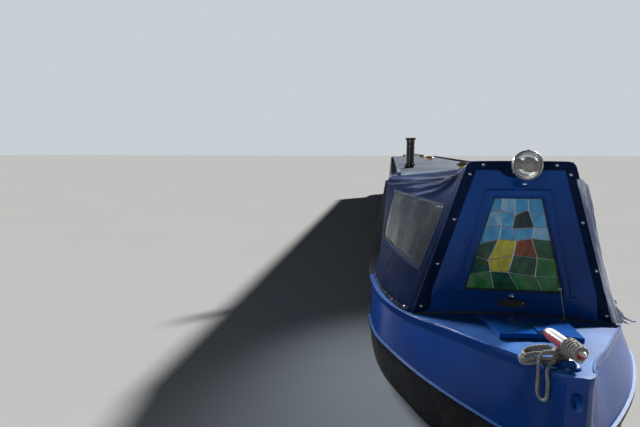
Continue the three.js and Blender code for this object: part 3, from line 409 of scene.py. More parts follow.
def hull_paint(name):
    """Black hull paint, scuffed along its strakes, with a dull weedy belt at the waterline"""
    p = Paint(name)
    z = p.place()[2]
    patch = p.noise(3.5, 6, 0.68)
    colour = p.over((0.009, 0.009, 0.01), (0.022, 0.022, 0.023), patch, 0.3, 0.75)
    scuffs = p.noise(24, 5, 0.72, stretch=(0.12, 1, 2.6))
    colour = p.over(colour, (0.10, 0.095, 0.09), scuffs, 0.60, 0.72, 0.65)
    colour = p.over(colour, (0.15, 0.055, 0.02), p.noise(17, 6, 0.75), 0.66, 0.74, 0.8)
    runs = p.band(p.noise(14, 4, 0.6, stretch=(1, 1, 0.08)), 0.52, 0.74, 0, 0.5)
    colour = p.mix(p.times(runs, p.band(z, 0.5, 0.95)), colour, (0.06, 0.058, 0.052))
    low = p.plus(z, p.times(p.noise(5, 5, 0.6), 0.06))
    belt = p.band(low, WATERLINE + 0.07, WATERLINE - 0.01)
    weed = p.mix(p.noise(60, 5, 0.7), (0.05, 0.052, 0.02), (0.028, 0.024, 0.014))
    colour = p.mix(p.times(belt, 0.85), colour, weed)
    rough = p.plus(p.band(patch, 0.3, 0.7, 0.34, 0.52), p.times(belt, 0.3))
    pits = p.bump(p.noise(150, 3, 0.6), 0.25, 0.0008)
    return p.finish(Base_Color=colour, Roughness=rough, Normal=p.bump(p.noise(2.2, 2, 0.4), 0.2, 0.02, pits),
                    Coat_Weight=0.15, Coat_Roughness=0.3)


def grit_paint(name, light, dark):
    """Matt deck paint with sand in it, worn paler where feet go"""
    p = Paint(name)
    colour = p.over(dark, light, p.noise(1.1, 6, 0.65, distortion=0.6), 0.35, 0.68)
    colour = p.over(colour, scaled(dark, 0.45), p.noise(8, 6, 0.7), 0.58, 0.74, 0.45)
    colour = p.over(colour, scaled(light, 1.9), p.noise(520, 2, 0.6), 0.5, 0.8, 0.35)
    return p.finish(Base_Color=colour, Roughness=0.7, Normal=p.bump(p.noise(480, 2, 0.65), 0.75, 0.0012),
                    Specular_IOR_Level=0.08)


def timber(name, pale, deep):
    """Oiled boards with grain along X, pores and a few dark marks"""
    p = Paint(name)
    squeeze = (0.06, 1, 1)
    grain = p.noise(38, 8, 0.66, stretch=squeeze, distortion=1.2)
    colour = p.over(deep, pale, grain, 0.36, 0.66)
    colour = p.over(colour, deep, p.noise(7, 3, 0.5, stretch=squeeze), 0.4, 0.7, 0.4)
    colour = p.over(colour, scaled(deep, 0.3), p.noise(260, 3, 0.6, stretch=squeeze), 0.6, 0.72, 0.5)
    return p.finish(Base_Color=colour, Roughness=p.band(grain, 0.3, 0.7, 0.4, 0.625),
                    Normal=p.bump(grain, 0.35, 0.0008))


def metal(name, bright, dull, rough, spots):
    """Plated or polished metal with finger marks, fine scratches and dull spots"""
    p = Paint(name)
    film = p.noise(16, 6, 0.65)
    return p.finish(Base_Color=p.over(bright, dull, film, 0.45, 0.75, spots), Metallic=1.0,
                    Roughness=p.band(film, 0.3, 0.75, rough * 0.6, rough * 2.2),
                    Normal=p.bump(p.noise(300, 3, 0.6), 0.12, 0.0002))


def canvas_cloth(name):
    """Coated navy canvas: plain weave, faded on its crowns, with tide marks and lint"""
    p = Paint(name)
    weave = p.times(p.wave(260, "X", 0.6, (1, 0.4, 0)), p.wave(260, "Z", 0.6, (0, 0.4, 1)))
    faded = p.noise(1.7, 5, 0.6, distortion=0.7)
    colour = p.over((0.003, 0.009, 0.034), (0.009, 0.021, 0.068), faded, 0.36, 0.7)
    colour = p.over(colour, (0.03, 0.035, 0.06), p.noise(5.5, 6, 0.7), 0.58, 0.75, 0.12)
    colour = p.over(colour, (0.12, 0.12, 0.14), p.noise(210, 2, 0.5, stretch=(1, 1, 0.5)), 0.74, 0.79, 0.4)
    creases = p.bump(p.noise(11, 5, 0.62, distortion=1.5), 0.28, 0.006)
    weathered = p.band(p.facing(2), 0.4, 0.85)
    colour = p.mix(p.times(weathered, 0.6), colour, (0.012, 0.02, 0.055))
    rough = p.plus(p.band(faded, 0.3, 0.7, 0.3, 0.42), p.times(weathered, 0.4))
    return p.finish(Base_Color=colour, Roughness=rough, Normal=p.bump(weave, 0.35, 0.0006, creases),
                    Specular_IOR_Level=0.02)


def webbing(name, light, dark):
    """Ribbed tape"""
    p = Paint(name)
    ribs = p.wave(420, "X", 0.2)
    colour = p.over(dark, light, p.noise(9, 5, 0.6), 0.35, 0.7)
    colour = p.over(colour, dark, ribs, 0.2, 0.8, 0.25)
    return p.finish(Base_Color=colour, Roughness=0.8, Normal=p.bump(ribs, 0.5, 0.0006), Sheen_Weight=0.04,
                    Specular_IOR_Level=0.15)


def glare_lining_cloth(name):
    """Thin pale cloth, gathered, with painted highlights on its creases and painted shade down between them
    """
    p = Paint(name)
    p.coords = p.stretched(turn=(-0.335, 0, 0))
    pleats = p.noise(30, 4, 0.6, stretch=(1, 1, 0.07), distortion=0.3)
    # Painted highlight on the crease crowns and painted shade down between them
    colour = p.over((0.2, 0.235, 0.36), (0.82, 0.84, 0.93), pleats, 0.38, 0.6)
    colour = p.over(colour, (0.3, 0.31, 0.33), p.noise(7, 5, 0.65), 0.55, 0.75, 0.3)
    gathers = p.bump(pleats, 0.6, 0.004)
    return p.finish(Base_Color=colour, Roughness=0.82, Sheen_Weight=0.1, Specular_IOR_Level=0.2,
                    Normal=p.bump(p.wave(520, "Z", 0.3), 0.3, 0.0003, gathers))


def rope_fibre(name, pale, dark):
    """Laid fibre: fine yarns, grey-green weathering and loose hairs"""
    p = Paint(name)
    yarn = p.noise(420, 4, 0.7, stretch=(1, 0.35, 1))
    colour = p.over(dark, pale, yarn, 0.3, 0.72)
    colour = p.over(colour, scaled(dark, 0.42), p.noise(14, 5, 0.65), 0.45, 0.75, 0.55)
    colour = p.over(colour, scaled(pale, 1.5), p.noise(700, 2, 0.5), 0.64, 0.75, 0.5)
    return p.finish(Base_Color=colour, Roughness=0.9, Normal=p.bump(yarn, 0.8, 0.0012), Sheen_Weight=0.25,
                    Sheen_Roughness=0.6)


def clear_sheet(name, tint, rough, clouded, through, ior):
    """Glass with dust, smears and a slight ripple"""
    p = Paint(name)
    haze = p.noise(5, 6, 0.65, distortion=0.8)
    colour = p.over(tint, (0.5, 0.5, 0.48), p.noise(190, 3, 0.6), 0.62, 0.76, 0.25)
    return p.finish(Base_Color=colour, Roughness=p.band(haze, 0.35, 0.75, rough, rough + clouded), IOR=ior,
                    Normal=p.bump(p.noise(4, 2, 0.4), 0.15, 0.004), Transmission_Weight=through)


def vinyl_sheet(name):
    """Clear vinyl gone smoky, crazed and spotted, with a slack ripple"""
    p = Paint(name)
    smoke = p.band(p.noise(2.6, 4, 0.55, stretch=(1, 1, 1.6)), 0.3, 0.7)
    colour = p.mix(smoke, (0.03, 0.036, 0.042), (0.07, 0.08, 0.085))
    crazed = p.band(p.noise(70, 5, 0.75, stretch=(1, 1, 2.6), distortion=1.4), 0.56, 0.68, 0, 0.7)
    patch = p.band(p.noise(6, 4, 0.6), 0.42, 0.6)
    colour = p.mix(p.times(crazed, patch), colour, (0.34, 0.37, 0.4))
    ripple = p.bump(p.noise(13, 2, 0.5, stretch=(1, 1, 0.4)), 0.6, 0.006)
    return p.finish(Base_Color=colour, Roughness=p.band(smoke, 0, 1, 0.08, 0.2),
                    Normal=p.bump(crazed, 0.3, 0.001, ripple), Transmission_Weight=0.5, IOR=1.35,
                    Specular_IOR_Level=0.3)


def art_glass(name, pale, deep):
    """Opalescent coloured glass with streaks and seeds"""
    p = Paint(name)
    streak = p.noise(9, 5, 0.6, stretch=(1, 1, 0.45), distortion=1.6)
    colour = p.over(deep, pale, streak, 0.32, 0.7)
    colour = p.over(colour, tuple(min(1, c * 1.4 + 0.1) for c in pale), p.cells(85), 0.05, 0.02, 0.5)
    return p.finish(Base_Color=colour, Roughness=0.1, Normal=p.bump(p.noise(26, 3, 0.5), 0.35, 0.0015),
                    Transmission_Weight=0.08, Coat_Weight=0.12, Coat_Roughness=0.05, Specular_IOR_Level=0.2)


def rubber(name):
    """Black rubber with a grey bloom"""
    p = Paint(name)
    bloom = p.noise(20, 5, 0.65)
    colour = p.over((0.02, 0.02, 0.02), (0.06, 0.06, 0.064), bloom, 0.4, 0.75)
    return p.finish(Base_Color=colour, Roughness=p.band(bloom, 0.3, 0.7, 0.5, 0.8),
                    Normal=p.bump(p.noise(240, 2, 0.5), 0.2, 0.0005))


def worn_paint(p, colour, chips, grime, coat):
    """Chips, as (where they start, strength, colour), and grime, as (strength, colour), over gloss"""
    start, strength, bare = chips
    worn = p.band(p.noise(34, 6, 0.72), start, start + 0.08)
    colour = p.mix(p.times(worn, strength), colour, bare)
    colour = p.over(colour, grime[1], p.noise(11, 5, 0.6), 0.45, 0.75, grime[0])
    return p.finish(Base_Color=colour, Roughness=p.band(p.noise(18, 4, 0.6), 0.3, 0.7, 0.25, 0.5),
                    Normal=p.bump(worn, 0.4, -0.0005), Coat_Weight=coat, Coat_Roughness=0.2)


def stud_paint(name, white, red):
    """Horn white over its crown and red under it and on its aft tip, both chipped and grubby"""
    p = Paint(name)
    x, y, z = p.place()
    cosine, sine = math.cos(HORN_YAW), math.sin(HORN_YAW)
    from_post = p.minus(x, STUD_X * MM)
    along = p.plus(p.times(from_post, cosine), p.times(y, sine))
    sideways = p.minus(p.times(y, cosine), p.times(from_post, sine))
    waver = p.waver(55, 3, 0.55, 0.012)
    level = p.plus(p.plus(z, waver), p.times(sideways, 0.55))
    tip = p.band(p.plus(along, waver), -0.117, -0.122)
    share = p.math("MAXIMUM", p.band(level, 1.4085, 1.4045), p.times(tip, 0.85))
    chips, grime = (0.57, 0.6, (0.3, 0.26, 0.22)), (0.45, (0.2, 0.18, 0.17))
    return worn_paint(p, p.mix(share, white, red), chips, grime, 0.2)


def banded_paint(name, places, white, red):
    """White gloss with red bands between pairs of heights, in metres"""
    p = Paint(name)
    up = p.plus(p.place()[2], p.waver(60, 3, 0.5, 0.006))
    share = None
    for low, high in places:
        inside = p.between(up, low - 0.004, high + 0.004, 0.004)
        share = inside if share is None else p.math("MAXIMUM", share, inside)
    chips, grime = (0.56, 0.75, (0.28, 0.24, 0.2)), (0.5, (0.32, 0.3, 0.27))
    return worn_paint(p, p.mix(share, white, red), chips, grime, 0.1)


def glow_glass(name, colour):
    """Frosted bulb glass"""
    p = Paint(name)
    return p.finish(Base_Color=p.mix(p.noise(40, 3, 0.5), colour, scaled(colour, 0.8)), Roughness=0.35,
                    Transmission_Weight=0.3)


def tiller_look(name):
    """Brass bar with a turned wooden grip"""
    p = Paint(name)
    grip = p.band(p.place()[0], -7.3205, -7.3195)
    film = p.noise(16, 6, 0.65)
    brass = p.over(*BRASS, film, 0.45, 0.75, 0.5)
    grain = p.noise(60, 6, 0.6, stretch=(0.1, 1, 1), distortion=1.0)
    wood = p.over((0.16, 0.07, 0.025), (0.4, 0.2, 0.08), grain, 0.35, 0.65)
    return p.finish(Base_Color=p.mix(grip, brass, wood), Metallic=p.minus(1.0, grip),
                    Roughness=p.band(film, 0.3, 0.75, 0.14, 0.36), Normal=p.bump(grain, 0.2, 0.0004))


# Mesh building

LATHE_AXES = {"x": (Y_AXIS, Z_AXIS, X_AXIS), "z": (X_AXIS, Y_AXIS, Z_AXIS)}


def ring_round(middle, across, rise, sides, reach):
    """A ring in metres round a middle; reach is its radius, or gives it for each angle"""
    ring = []
    for k in range(sides):
        turn = TAU * k / sides
        r = reach(turn) if callable(reach) else reach
        ring.append((middle + (across * math.cos(turn) + rise * math.sin(turn)) * r) * MM)
    return ring


def mirrored(p, side):
    """A port place or direction, carried to a side"""
    return Vector((p.x, side * p.y, p.z))


def bevelled(made, width, angle):
    edge = made.modifiers.new("edges", "BEVEL")
    edge.width = width
    edge.segments = 2
    edge.limit_method = "ANGLE"
    edge.angle_limit = math.radians(angle)
    edge.harden_normals = True


class Shape:
    """Gathers the vertices and faces of one piece; a mark picks a face's material"""

    def __init__(self):
        self.verts = []
        self.faces = []
        self.marks = []

    def face(self, corners, mark):
        self.faces.append(corners)
        self.marks.append(mark)

    def loft(self, rings, closed=True, caps=True, mark=0, skip=None):
        """Faces between rings or open rows of points; skip(r, i) leaves one out"""
        base, count = len(self.verts), len(rings[0])
        for ring in rings:
            self.verts.extend(tuple(p) for p in ring)
        for r in range(len(rings) - 1):
            for i in range(count if closed else count - 1):
                if skip and skip(r, i):
                    continue
                a, b = base + r * count + i, base + r * count + (i + 1) % count
                self.face((a, b, b + count, a + count), mark)
        if closed and caps:
            last = base + (len(rings) - 1) * count
            self.face(tuple(base + i for i in range(count)), mark)
            self.face(tuple(last + i for i in range(count)), mark)
        return self

    def hoop(self, rings):
        """A loft that comes back to its first ring"""
        return self.loft(rings + rings[:1], caps=False)

    def grid(self, rows, skip=None):
        return self.loft(rows, closed=False, skip=skip)

    def lathe(self, profile, centre, axis, sides, caps=True):
        """Turns a profile of (radius, height), in millimetres, round an axis through centre"""
        u, v, w = (Vector(e) for e in (LATHE_AXES[axis] if isinstance(axis, str) else axis))
        middle = Vector(centre)
        rings = []
        for radius, height in profile:
            ring = []
            for i in range(sides):
                turn = TAU * i / sides
                spoke = (u * math.cos(turn) + v * math.sin(turn)) * max(radius, 0.05)
                ring.append((middle + spoke + w * height) * MM)
            rings.append(ring)
        return self.loft(rings, caps=caps)

    def block(self, low, high):
        """A box between two corners, in millimetres"""
        (x0, y0, z0), (x1, y1, z1) = low, high
        corners = ((y0, z0), (y1, z0), (y1, z1), (y0, z1))
        return self.loft([[Vector((x, y, z)) * MM for y, z in corners] for x in (x0, x1)])

    def bar(self, points, width, height, up=(0, 0, 1)):
        """A flat bar through points in millimetres; width lies across, height along up"""
        rings = []
        path = [Vector(p) for p in points]
        for i, p in enumerate(path):
            ahead = heading(path, i)
            across = ahead.cross(Vector(up)).normalized()
            rise = across.cross(ahead).normalized()
            corners = ((-1, 0), (1, 0), (1, 1), (-1, 1))
            rings.append([(p + across * (a * width / 2) + rise * (b * height)) * MM for a, b in corners])
        return self.loft(rings)

    def tube(self, points, radius, sides):
        """A round tube through points in millimetres"""
        path = [Vector(p) for p in points]
        return self.loft([ring_round(*place, sides, radius) for place in frames_along(path)])

    def make(self, name, *looks, body="hull", slot=None, bevel=0.0, angle=35, thick=0.0):
        """The finished piece; slot is not used"""
        data = bpy.data.meshes.new(name)
        data.from_pydata(self.verts, [], self.faces)
        data.polygons.foreach_set("material_index", self.marks)
        work = bmesh.new()
        work.from_mesh(data)
        bmesh.ops.remove_doubles(work, verts=work.verts, dist=WELD_GAP)
        bmesh.ops.recalc_face_normals(work, faces=work.faces)
        work.to_mesh(data)
        work.free()
        for look in looks:
            data.materials.append(LOOKS[look])
        data.shade_smooth()
        data.set_sharp_from_angle(angle=math.radians(angle))
        made = link(name, data)
        if thick:
            solid = made.modifiers.new("thickness", "SOLIDIFY")
            solid.thickness = thick
            solid.offset = 0
        if bevel:
            bevelled(made, bevel, angle)
        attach(made, body)
        return made


def heading(path, i):
    """The way a path runs at one of its points"""
    return (path[min(i + 1, len(path) - 1)] - path[max(i - 1, 0)]).normalized()


def frames_along(path):
    """Each point of a path with two directions square to it that don't twist along the way"""
    out = []
    ahead = (path[1] - path[0]).normalized()
    across = ahead.cross(Z_AXIS)
    if across.length < 0.05:
        across = ahead.cross(X_AXIS)
    across.normalize()
    for i, p in enumerate(path):
        new = heading(path, i)
        across = (across - new * across.dot(new)).normalized()
        out.append((p, across, new.cross(across).normalized()))
    return out


def spline(points, step):
    """Points at an even step along a smooth curve through the points given"""
    p = [Vector(q) for q in points]
    p = [p[0] * 2 - p[1], *p, p[-1] * 2 - p[-2]]
    fine = []
    for i in range(1, len(p) - 2):
        a, b, c, d = p[i - 1:i + 3]
        for k in range(12):
            t = k / 12
            fine.append(0.5 * (2 * b + (c - a) * t + (2 * a - 5 * b + 4 * c - d) * t * t
                               + (3 * b - a - 3 * c + d) * t ** 3))
    fine.append(p[-2])
    out, left = [fine[0]], step
    for a, b in zip(fine, fine[1:]):
        length = (b - a).length
        while left <= length:
            out.append(a.lerp(b, left / length))
            left += step
        left -= length
    if (out[-1] - fine[-1]).length > step * 0.5:
        out.append(fine[-1])
    return out


def rounded(before, corner, after, t):
    """A place on the bend from one point to another that a corner pulls outward"""
    return before * (1 - t) ** 2 + corner * (2 * t * (1 - t)) + after * t * t


# Bow rope: laid round the stud, hanked over the starboard deck edge, with one bight

STUD_X = 8365
HORN_Z = 1404
HORN_YAW = math.radians(15)
HORN_AHEAD = Vector((math.cos(HORN_YAW), math.sin(HORN_YAW), 0))
HORN_ACROSS = Vector((-math.sin(HORN_YAW), math.cos(HORN_YAW), 0))
# Distance along the horn and radius there
HORN_PROFILE = [(-143, 0), (-142, 7), (-138, 13), (-130, 20), (-118, 26), (-100, 29.6), (-70, 31), (0, 31),
                (60, 30), (92, 28), (116, 25), (132, 20.5), (145, 14.5), (151, 8), (153, 0)]
ROPE_D = 16
LAY_LENGTH = 52
# In metres, along the whole route
# Turns on the horn, their first and last place along it, and the radius of the turn round the post
HORN_TURNS = 6
HORN_FIRST, HORN_LAST = 131, 33
POST_TURN_R = 33
HANK_NEAR = Vector((8398, -28, 1356))
HANK_FAR = Vector((8350, -196, 1328))
HANK_ROUNDS = 4
HANK_STEPS = 144
# The hank's loops: their near and far ends, the fold's radius, and how far each lies aside and up
HANK_LOOPS = [(44, 132, 36, 0, -22), (40, 146, 33, -6, -6), (48, 118, 43, 9, 10), (40, 134, 33, 5, 27),
              (50, 98, 33, 18, 41)]
POST_TO_HANK = [(8400, -8, 1347), (8403, -24, 1344), (8409, -41, 1339), (8417, -57, 1333)]
BIGHT = [
    (8432, -111, 1381), (8438, -125, 1364), (8447, -133, 1337), (8452, -134, 1306),
    (8453, -133, 1270), (8453, -133, 1235), (8454, -132, 1204), (8458, -130, 1189), (8467, -126, 1178),
    (8481, -120, 1174), (8495, -113, 1178), (8504, -109, 1189), (8508, -107, 1204), (8509, -107, 1238),
    (8507, -108, 1274), (8501, -110, 1302), (8491, -107, 1322), (8477, -96, 1334), (8462, -82, 1340),
    (8448, -69, 1344), (8437, -60, 1346),
]


def horn_turns():
    """Turns on the horn's fore arm, from its tip towards the post"""
    steps = HORN_TURNS * 16
    points = []
    for k in range(steps + 1):
        t = k / steps
        along = mix(HORN_FIRST, HORN_LAST, t)
        turn = math.radians(270) - TAU * HORN_TURNS * t
        arm = mix(29.6, 22.5, smooth((along - 40) / 90))
        radius = arm + ROPE_D / 2 + 0.6
        middle = Vector((STUD_X, 0, HORN_Z + 0.02 * along)) + HORN_AHEAD * along
        points.append(middle + HORN_ACROSS * radius * math.cos(turn) + Z_AXIS * radius * math.sin(turn))
    return points


def post_turn():
    """Most of a turn round the post, clockwise seen from above"""
    points = [(8397.5, -7.5, 1366.2)]
    for t in spaced(0, 1, 12):
        turn = math.radians(-42) - math.radians(300) * t
        x, y = STUD_X + POST_TURN_R * math.cos(turn), POST_TURN_R * math.sin(turn)
        points.append((x, y, mix(1365.2, 1348.5, t)))
    return points


def hank():
    """Flattened turns that climb as they go"""
    along = (HANK_FAR - HANK_NEAR).normalized()
    side = (X_AXIS - along * along.x).normalized()
    rise = along.cross(side).normalized()
    points = []
    for k in range(HANK_STEPS + 1):
        share = HANK_ROUNDS * k / HANK_STEPS
        layer = min(int(share), len(HANK_LOOPS) - 2)
        blend = smooth(share - layer)
        near, far, fold_r, shift, lift = (mix(a, b, blend)
                                          for a, b in zip(HANK_LOOPS[layer], HANK_LOOPS[layer + 1]))
        straight = far - near
        run = (share - int(share) if share < HANK_ROUNDS else 1) * (2 * straight + TAU * fold_r)
        if run < straight:
            s, w = near + run, fold_r
        elif run < straight + math.pi * fold_r:
            turn = (run - straight) / fold_r
            s, w = far + fold_r * math.sin(turn), fold_r * math.cos(turn)
        elif run < 2 * straight + math.pi * fold_r:
            s, w = far - (run - straight - math.pi * fold_r), -fold_r
        else:
            turn = (run - 2 * straight - math.pi * fold_r) / fold_r
            s, w = near - fold_r * math.sin(turn), -fold_r * math.cos(turn)
        bend = 3.0 * math.sin(math.pi * (s - near) / straight + share * 1.2)
        droop = -16 * smooth((s - 92) / 80)
        points.append(HANK_NEAR + along * s + side * (w + bend + shift) + rise * (lift + droop))
    return points


def laid_rings(path, radius, lay, core=0.56, lobe=0.47, power=0.75, sides=18):
    """Sections of three laid strands along a path, each a rounded lobe; radius may change with the step"""
    rings, run = [], 0.0
    for i, place in enumerate(frames_along(path)):
        if i:
            run += (path[i] - path[i - 1]).length
        size = radius(i) if callable(radius) else radius
        twist = TAU * run / lay
        rings.append(ring_round(*place, sides, lambda turn: size * (
            core + lobe * abs(math.cos(1.5 * (turn - twist))) ** power)))
    return rings


def make_stud():
    """The T-stud: a horn on a post with a welded foot"""
    shape = Shape()
    rings = []
    for along, radius in HORN_PROFILE:
        middle = Vector((STUD_X, 0, HORN_Z + 0.03 * abs(along))) + HORN_AHEAD * along
        rings.append(ring_round(middle, HORN_ACROSS, Z_AXIS, 36, max(radius, 0.05)))
    shape.loft(rings)
    foot = deck_z(STUD_X) - 4
    top = HORN_Z - 12 - foot
    profile = [(45, 0), (45.5, 12), (43, 16), (34, 18.4), (28.5, 22), (25, 29), (24, 38), (24, top - 18),
               (26, top - 8), (30, top)]
    shape.lathe(profile, (STUD_X, 0, foot), "z", 40)
    stud = shape.make("bow_stud", "stud", angle=40)
    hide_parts("t_stud")


def make_rope():
    path = spline(horn_turns() + post_turn() + POST_TO_HANK + hank() + BIGHT, 3.4)
    rope = Shape().loft(laid_rings(path, ROPE_D / 2, LAY_LENGTH)).make("bow_line", "rope", angle=60)
    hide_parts("bow_rope", "bow_rope_bight")
    whipping = Shape()
    profile = [(7.6, -2.5), (8.4, -1)]
    for k in range(7):
        profile += [(8.5, 1 + k * 2.4), (9.0, 2.2 + k * 2.4)]
    profile += [(8.5, 18), (7.4, 19)]
    for end, inner in ((path[0], path[6]), (path[-1], path[-7])):
        back = (inner - end).normalized()
        side = back.cross(Z_AXIS).normalized()
        whipping.lathe(profile, end, (side, back.cross(side).normalized(), back), 20)
    ends = whipping.make("bow_line_whippings", "twine", angle=60)


# Canvas cover: one curved sheet from the board's face back over the well to the cabin

COVER_FRONT = {"shoulder": 328, "shoulder_z": 2246, "ridge_z": 2247}
COVER_REAR = {"shoulder": 857, "shoulder_z": 2044, "ridge_z": 2105}
COVER_PANE_X = (6150, 7320)
COVER_PANE_Z = (1490, 1930)
# How far each clear pane runs under the cloth round it
PANE_LAP = 12
# Grid lines of a side: from the foot up to the pane, over the pane, and up to the shoulder
FOOT_LINES, PANE_LINES, TOP_LINES = 7, 10, 17
COVER_EDGE_X = BOARD_X + 5
COVER_END_X = CABIN_FRONT_X - 60
SEAM_X = 6735
CLOTH_OUT = 5
SHOULDER_SAG = 54
# The front hem's width on the board's face, above and at its foot
BAND_WIDTH = 64
BAND_FOOT_WIDTH = 90
# How far the bend over the shoulder reaches to either side of it
SHOULDER_BEND = 46
# Folds that hang from the shoulder by the board: depth under it, size and width
SWAGS = ((50, 17.0, 16), (118, 22.0, 19), (184, 15.0, 20))


def shoulder_drop(x):
    """How far the cloth's shoulder hangs under a straight line from the board to the cabin"""
    by_board, slack = smooth((7415 - x) / 110), mix(1, 0.3, smooth((7300 - x) / 1200))
    return SHOULDER_SAG * by_board * slack * smooth((x - CABIN_FRONT_X) / 200)


def cover_row(x):
    """Foot, shoulder and ridge of the cover's section at a place along X, and its side's lean"""
    back = BOARD_X - BOARD_THICK
    t = min(1, max(0, (back - x) / (back - CABIN_FRONT_X)))
    h = hull_at(min(x, STEM_X))
    by_cabin = CABIN_FOOT_Y + 12 + max(0, x - CABIN_FRONT_X) * 0.12
    foot = mix(BOARD_FOOT_HALF + 3, min(h["deck"] - 30, by_cabin), smooth((BOARD_X - x) / 60))
    foot_z = deck_z(x, foot) + 2.5 if x >= BOW_END_X else h["sheer"] + 2
    row = {key: mix(COVER_FRONT[key], COVER_REAR[key], t) for key in COVER_FRONT}
    row["shoulder_z"] -= shoulder_drop(x)
    lean = (foot - row["shoulder"]) / (row["shoulder_z"] - foot_z)
    return {**row, "foot": foot, "foot_z": foot_z, "lean": lean}


def cover_y(row, z):
    """Half-breadth of the cover's even side at a height"""
    return row["shoulder"] + (row["shoulder_z"] - z) * row["lean"]


def side_levels(row):
    """Heights of the sheet's grid lines on its side, with lines on the pane's edges"""
    low, high = COVER_PANE_Z
    return (spaced(row["foot_z"], low, FOOT_LINES)[:-1] + spaced(low, high, PANE_LINES)[:-1]
            + spaced(high, row["shoulder_z"] - SHOULDER_BEND, TOP_LINES))


def fold(x, z, side):
    """How far the cloth stands in or out of its even line, in millimetres"""
    fore = smooth((BOARD_X - 38 - x) / 120)
    aft = smooth((x - CABIN_FRONT_X) / 220)
    free = fore * aft * smooth((z - 1140) / 160)
    soft = noise.noise(Vector((x / 330, z / 260, side * 3.1))) * 6.0
    soft += noise.noise(Vector((x / 120 + 7, z / 75, side * 5.3))) * 2.2
    behind = BOARD_X - 40 - x
    t = min(1, max(0, behind / 1500))
    below = mix(COVER_FRONT["shoulder_z"], COVER_REAR["shoulder_z"], t) - shoulder_drop(x) - z
    reach = math.exp(-((behind - 260) / 520) ** 2)
    pull = 0.0
    for depth, size, width in SWAGS:
        wander = 14 * noise.noise(Vector((x / 240, depth, side)))
        line = 6 + depth * (1 - math.exp(-max(0, behind) / 240)) + wander
        pull += size * math.exp(-((below - line) / width) ** 2) * reach
    scallop = 2.2 * math.sin(x / 74 + side) * math.exp(-((z - 1180) / 120) ** 2)
    return free * (soft + pull) + scallop * aft * fore


def on_cover(x, z, side, out_by=0.0):
    """A place on the cover's side, lifted off the cloth, and the way out of it there"""
    row = cover_row(x)
    out = Vector((0, 1, row["lean"])).normalized()
    p = Vector((x, cover_y(row, z), z)) + out * (CLOTH_OUT + out_by + fold(x, z, side))
    return mirrored(p, side), mirrored(out, side)


def cover_half(x, side):
    """Points of one side of the sheet's section, from its foot up to the ridge"""
    row = cover_row(x)
    points = [on_cover(x, z, side)[0] for z in side_levels(row)]
    half, high = row["shoulder"], row["shoulder_z"]
    shoulder = Vector((x, side * half, high)) + Vector((0, side * CLOTH_OUT, CLOTH_OUT * 0.6))
    ridge = Vector((x, 0, row["ridge_z"] + CLOTH_OUT))
    middle = Vector((x, side * half * 0.5, mix(high, row["ridge_z"], 0.7) + CLOTH_OUT))
    start, end = points[-1], shoulder.lerp(middle, min(0.5, SHOULDER_BEND / (shoulder - middle).length))
    points += [rounded(start, shoulder, end, k / 6) for k in range(1, 6)]
    sag = smooth((BOARD_X - 40 - x) / 250) * smooth((x - CABIN_FRONT_X) / 250)
    for k in range(5):
        t = k / 5
        p = end.lerp(middle, t)
        p.z -= sag * 3.0 * math.sin(math.pi * (0.5 + t / 2)) ** 2
        points.append(p)
    return points + [middle.lerp(ridge, k / 5) for k in range(6)]


def cover_section(x):
    return cover_half(x, -1) + cover_half(x, 1)[-2::-1]


def band_inner(point):
    """Where the front hem's inner edge lies for a point of the cover's front edge"""
    side = 1 if point.y >= 0 else -1
    top = BOARD_FOOT_Z + BOARD_HEIGHT + 12
    under = top - BAND_WIDTH
    if point.z < top - 30:
        z = mix(BOARD_FOOT_Z + 45, under, (point.z - 1180) / (top - 30 - 1180))
        z = max(z, BOARD_FOOT_Z + 42)
        width = mix(BAND_FOOT_WIDTH, BAND_WIDTH, smooth((z - BOARD_FOOT_Z - 45) / 160))
        return Vector((0, side * (board_half(z) - width), z))
    y = abs(point.y)
    flap = smooth((118 - y) / 30)
    return Vector((0, side * min(y, board_half(under) - BAND_WIDTH), under - 46 * flap))


def front_hem(edge_row):
    """Rows that carry the sheet on round the board's edge and over its face, the inner one first"""
    rows = []
    for t in (1.0, 0.93, 0.8, 0.55, 0.3, 0.1, 0.0):
        row = []
        for a in edge_row:
            b = band_inner(a)
            lift = 2.6 if 0.05 < t < 0.96 else 1.2
            puff = 1.6 * noise.noise(Vector((a.y / 70, a.z / 70, t * 2))) * math.sin(math.pi * t)
            row.append(Vector((BOARD_X + lift + puff + 1.2, mix(a.y, b.y, t), mix(a.z, b.z, t))))
        rows.append(row)
    return rows


def cover_stations():
    """Places along X of the sheet's sections, with some on the panes' ends"""
    low, high = COVER_PANE_X
    xs = [COVER_EDGE_X, BOARD_X - 6, BOARD_X - 16, BOARD_X - BOARD_THICK, 7408, 7395, 7380, 7360, 7340]
    xs += spaced(high, low, 52) + spaced(low, CABIN_FRONT_X, 6)[1:]
    return xs + [CABIN_FRONT_X - 30, COVER_END_X]


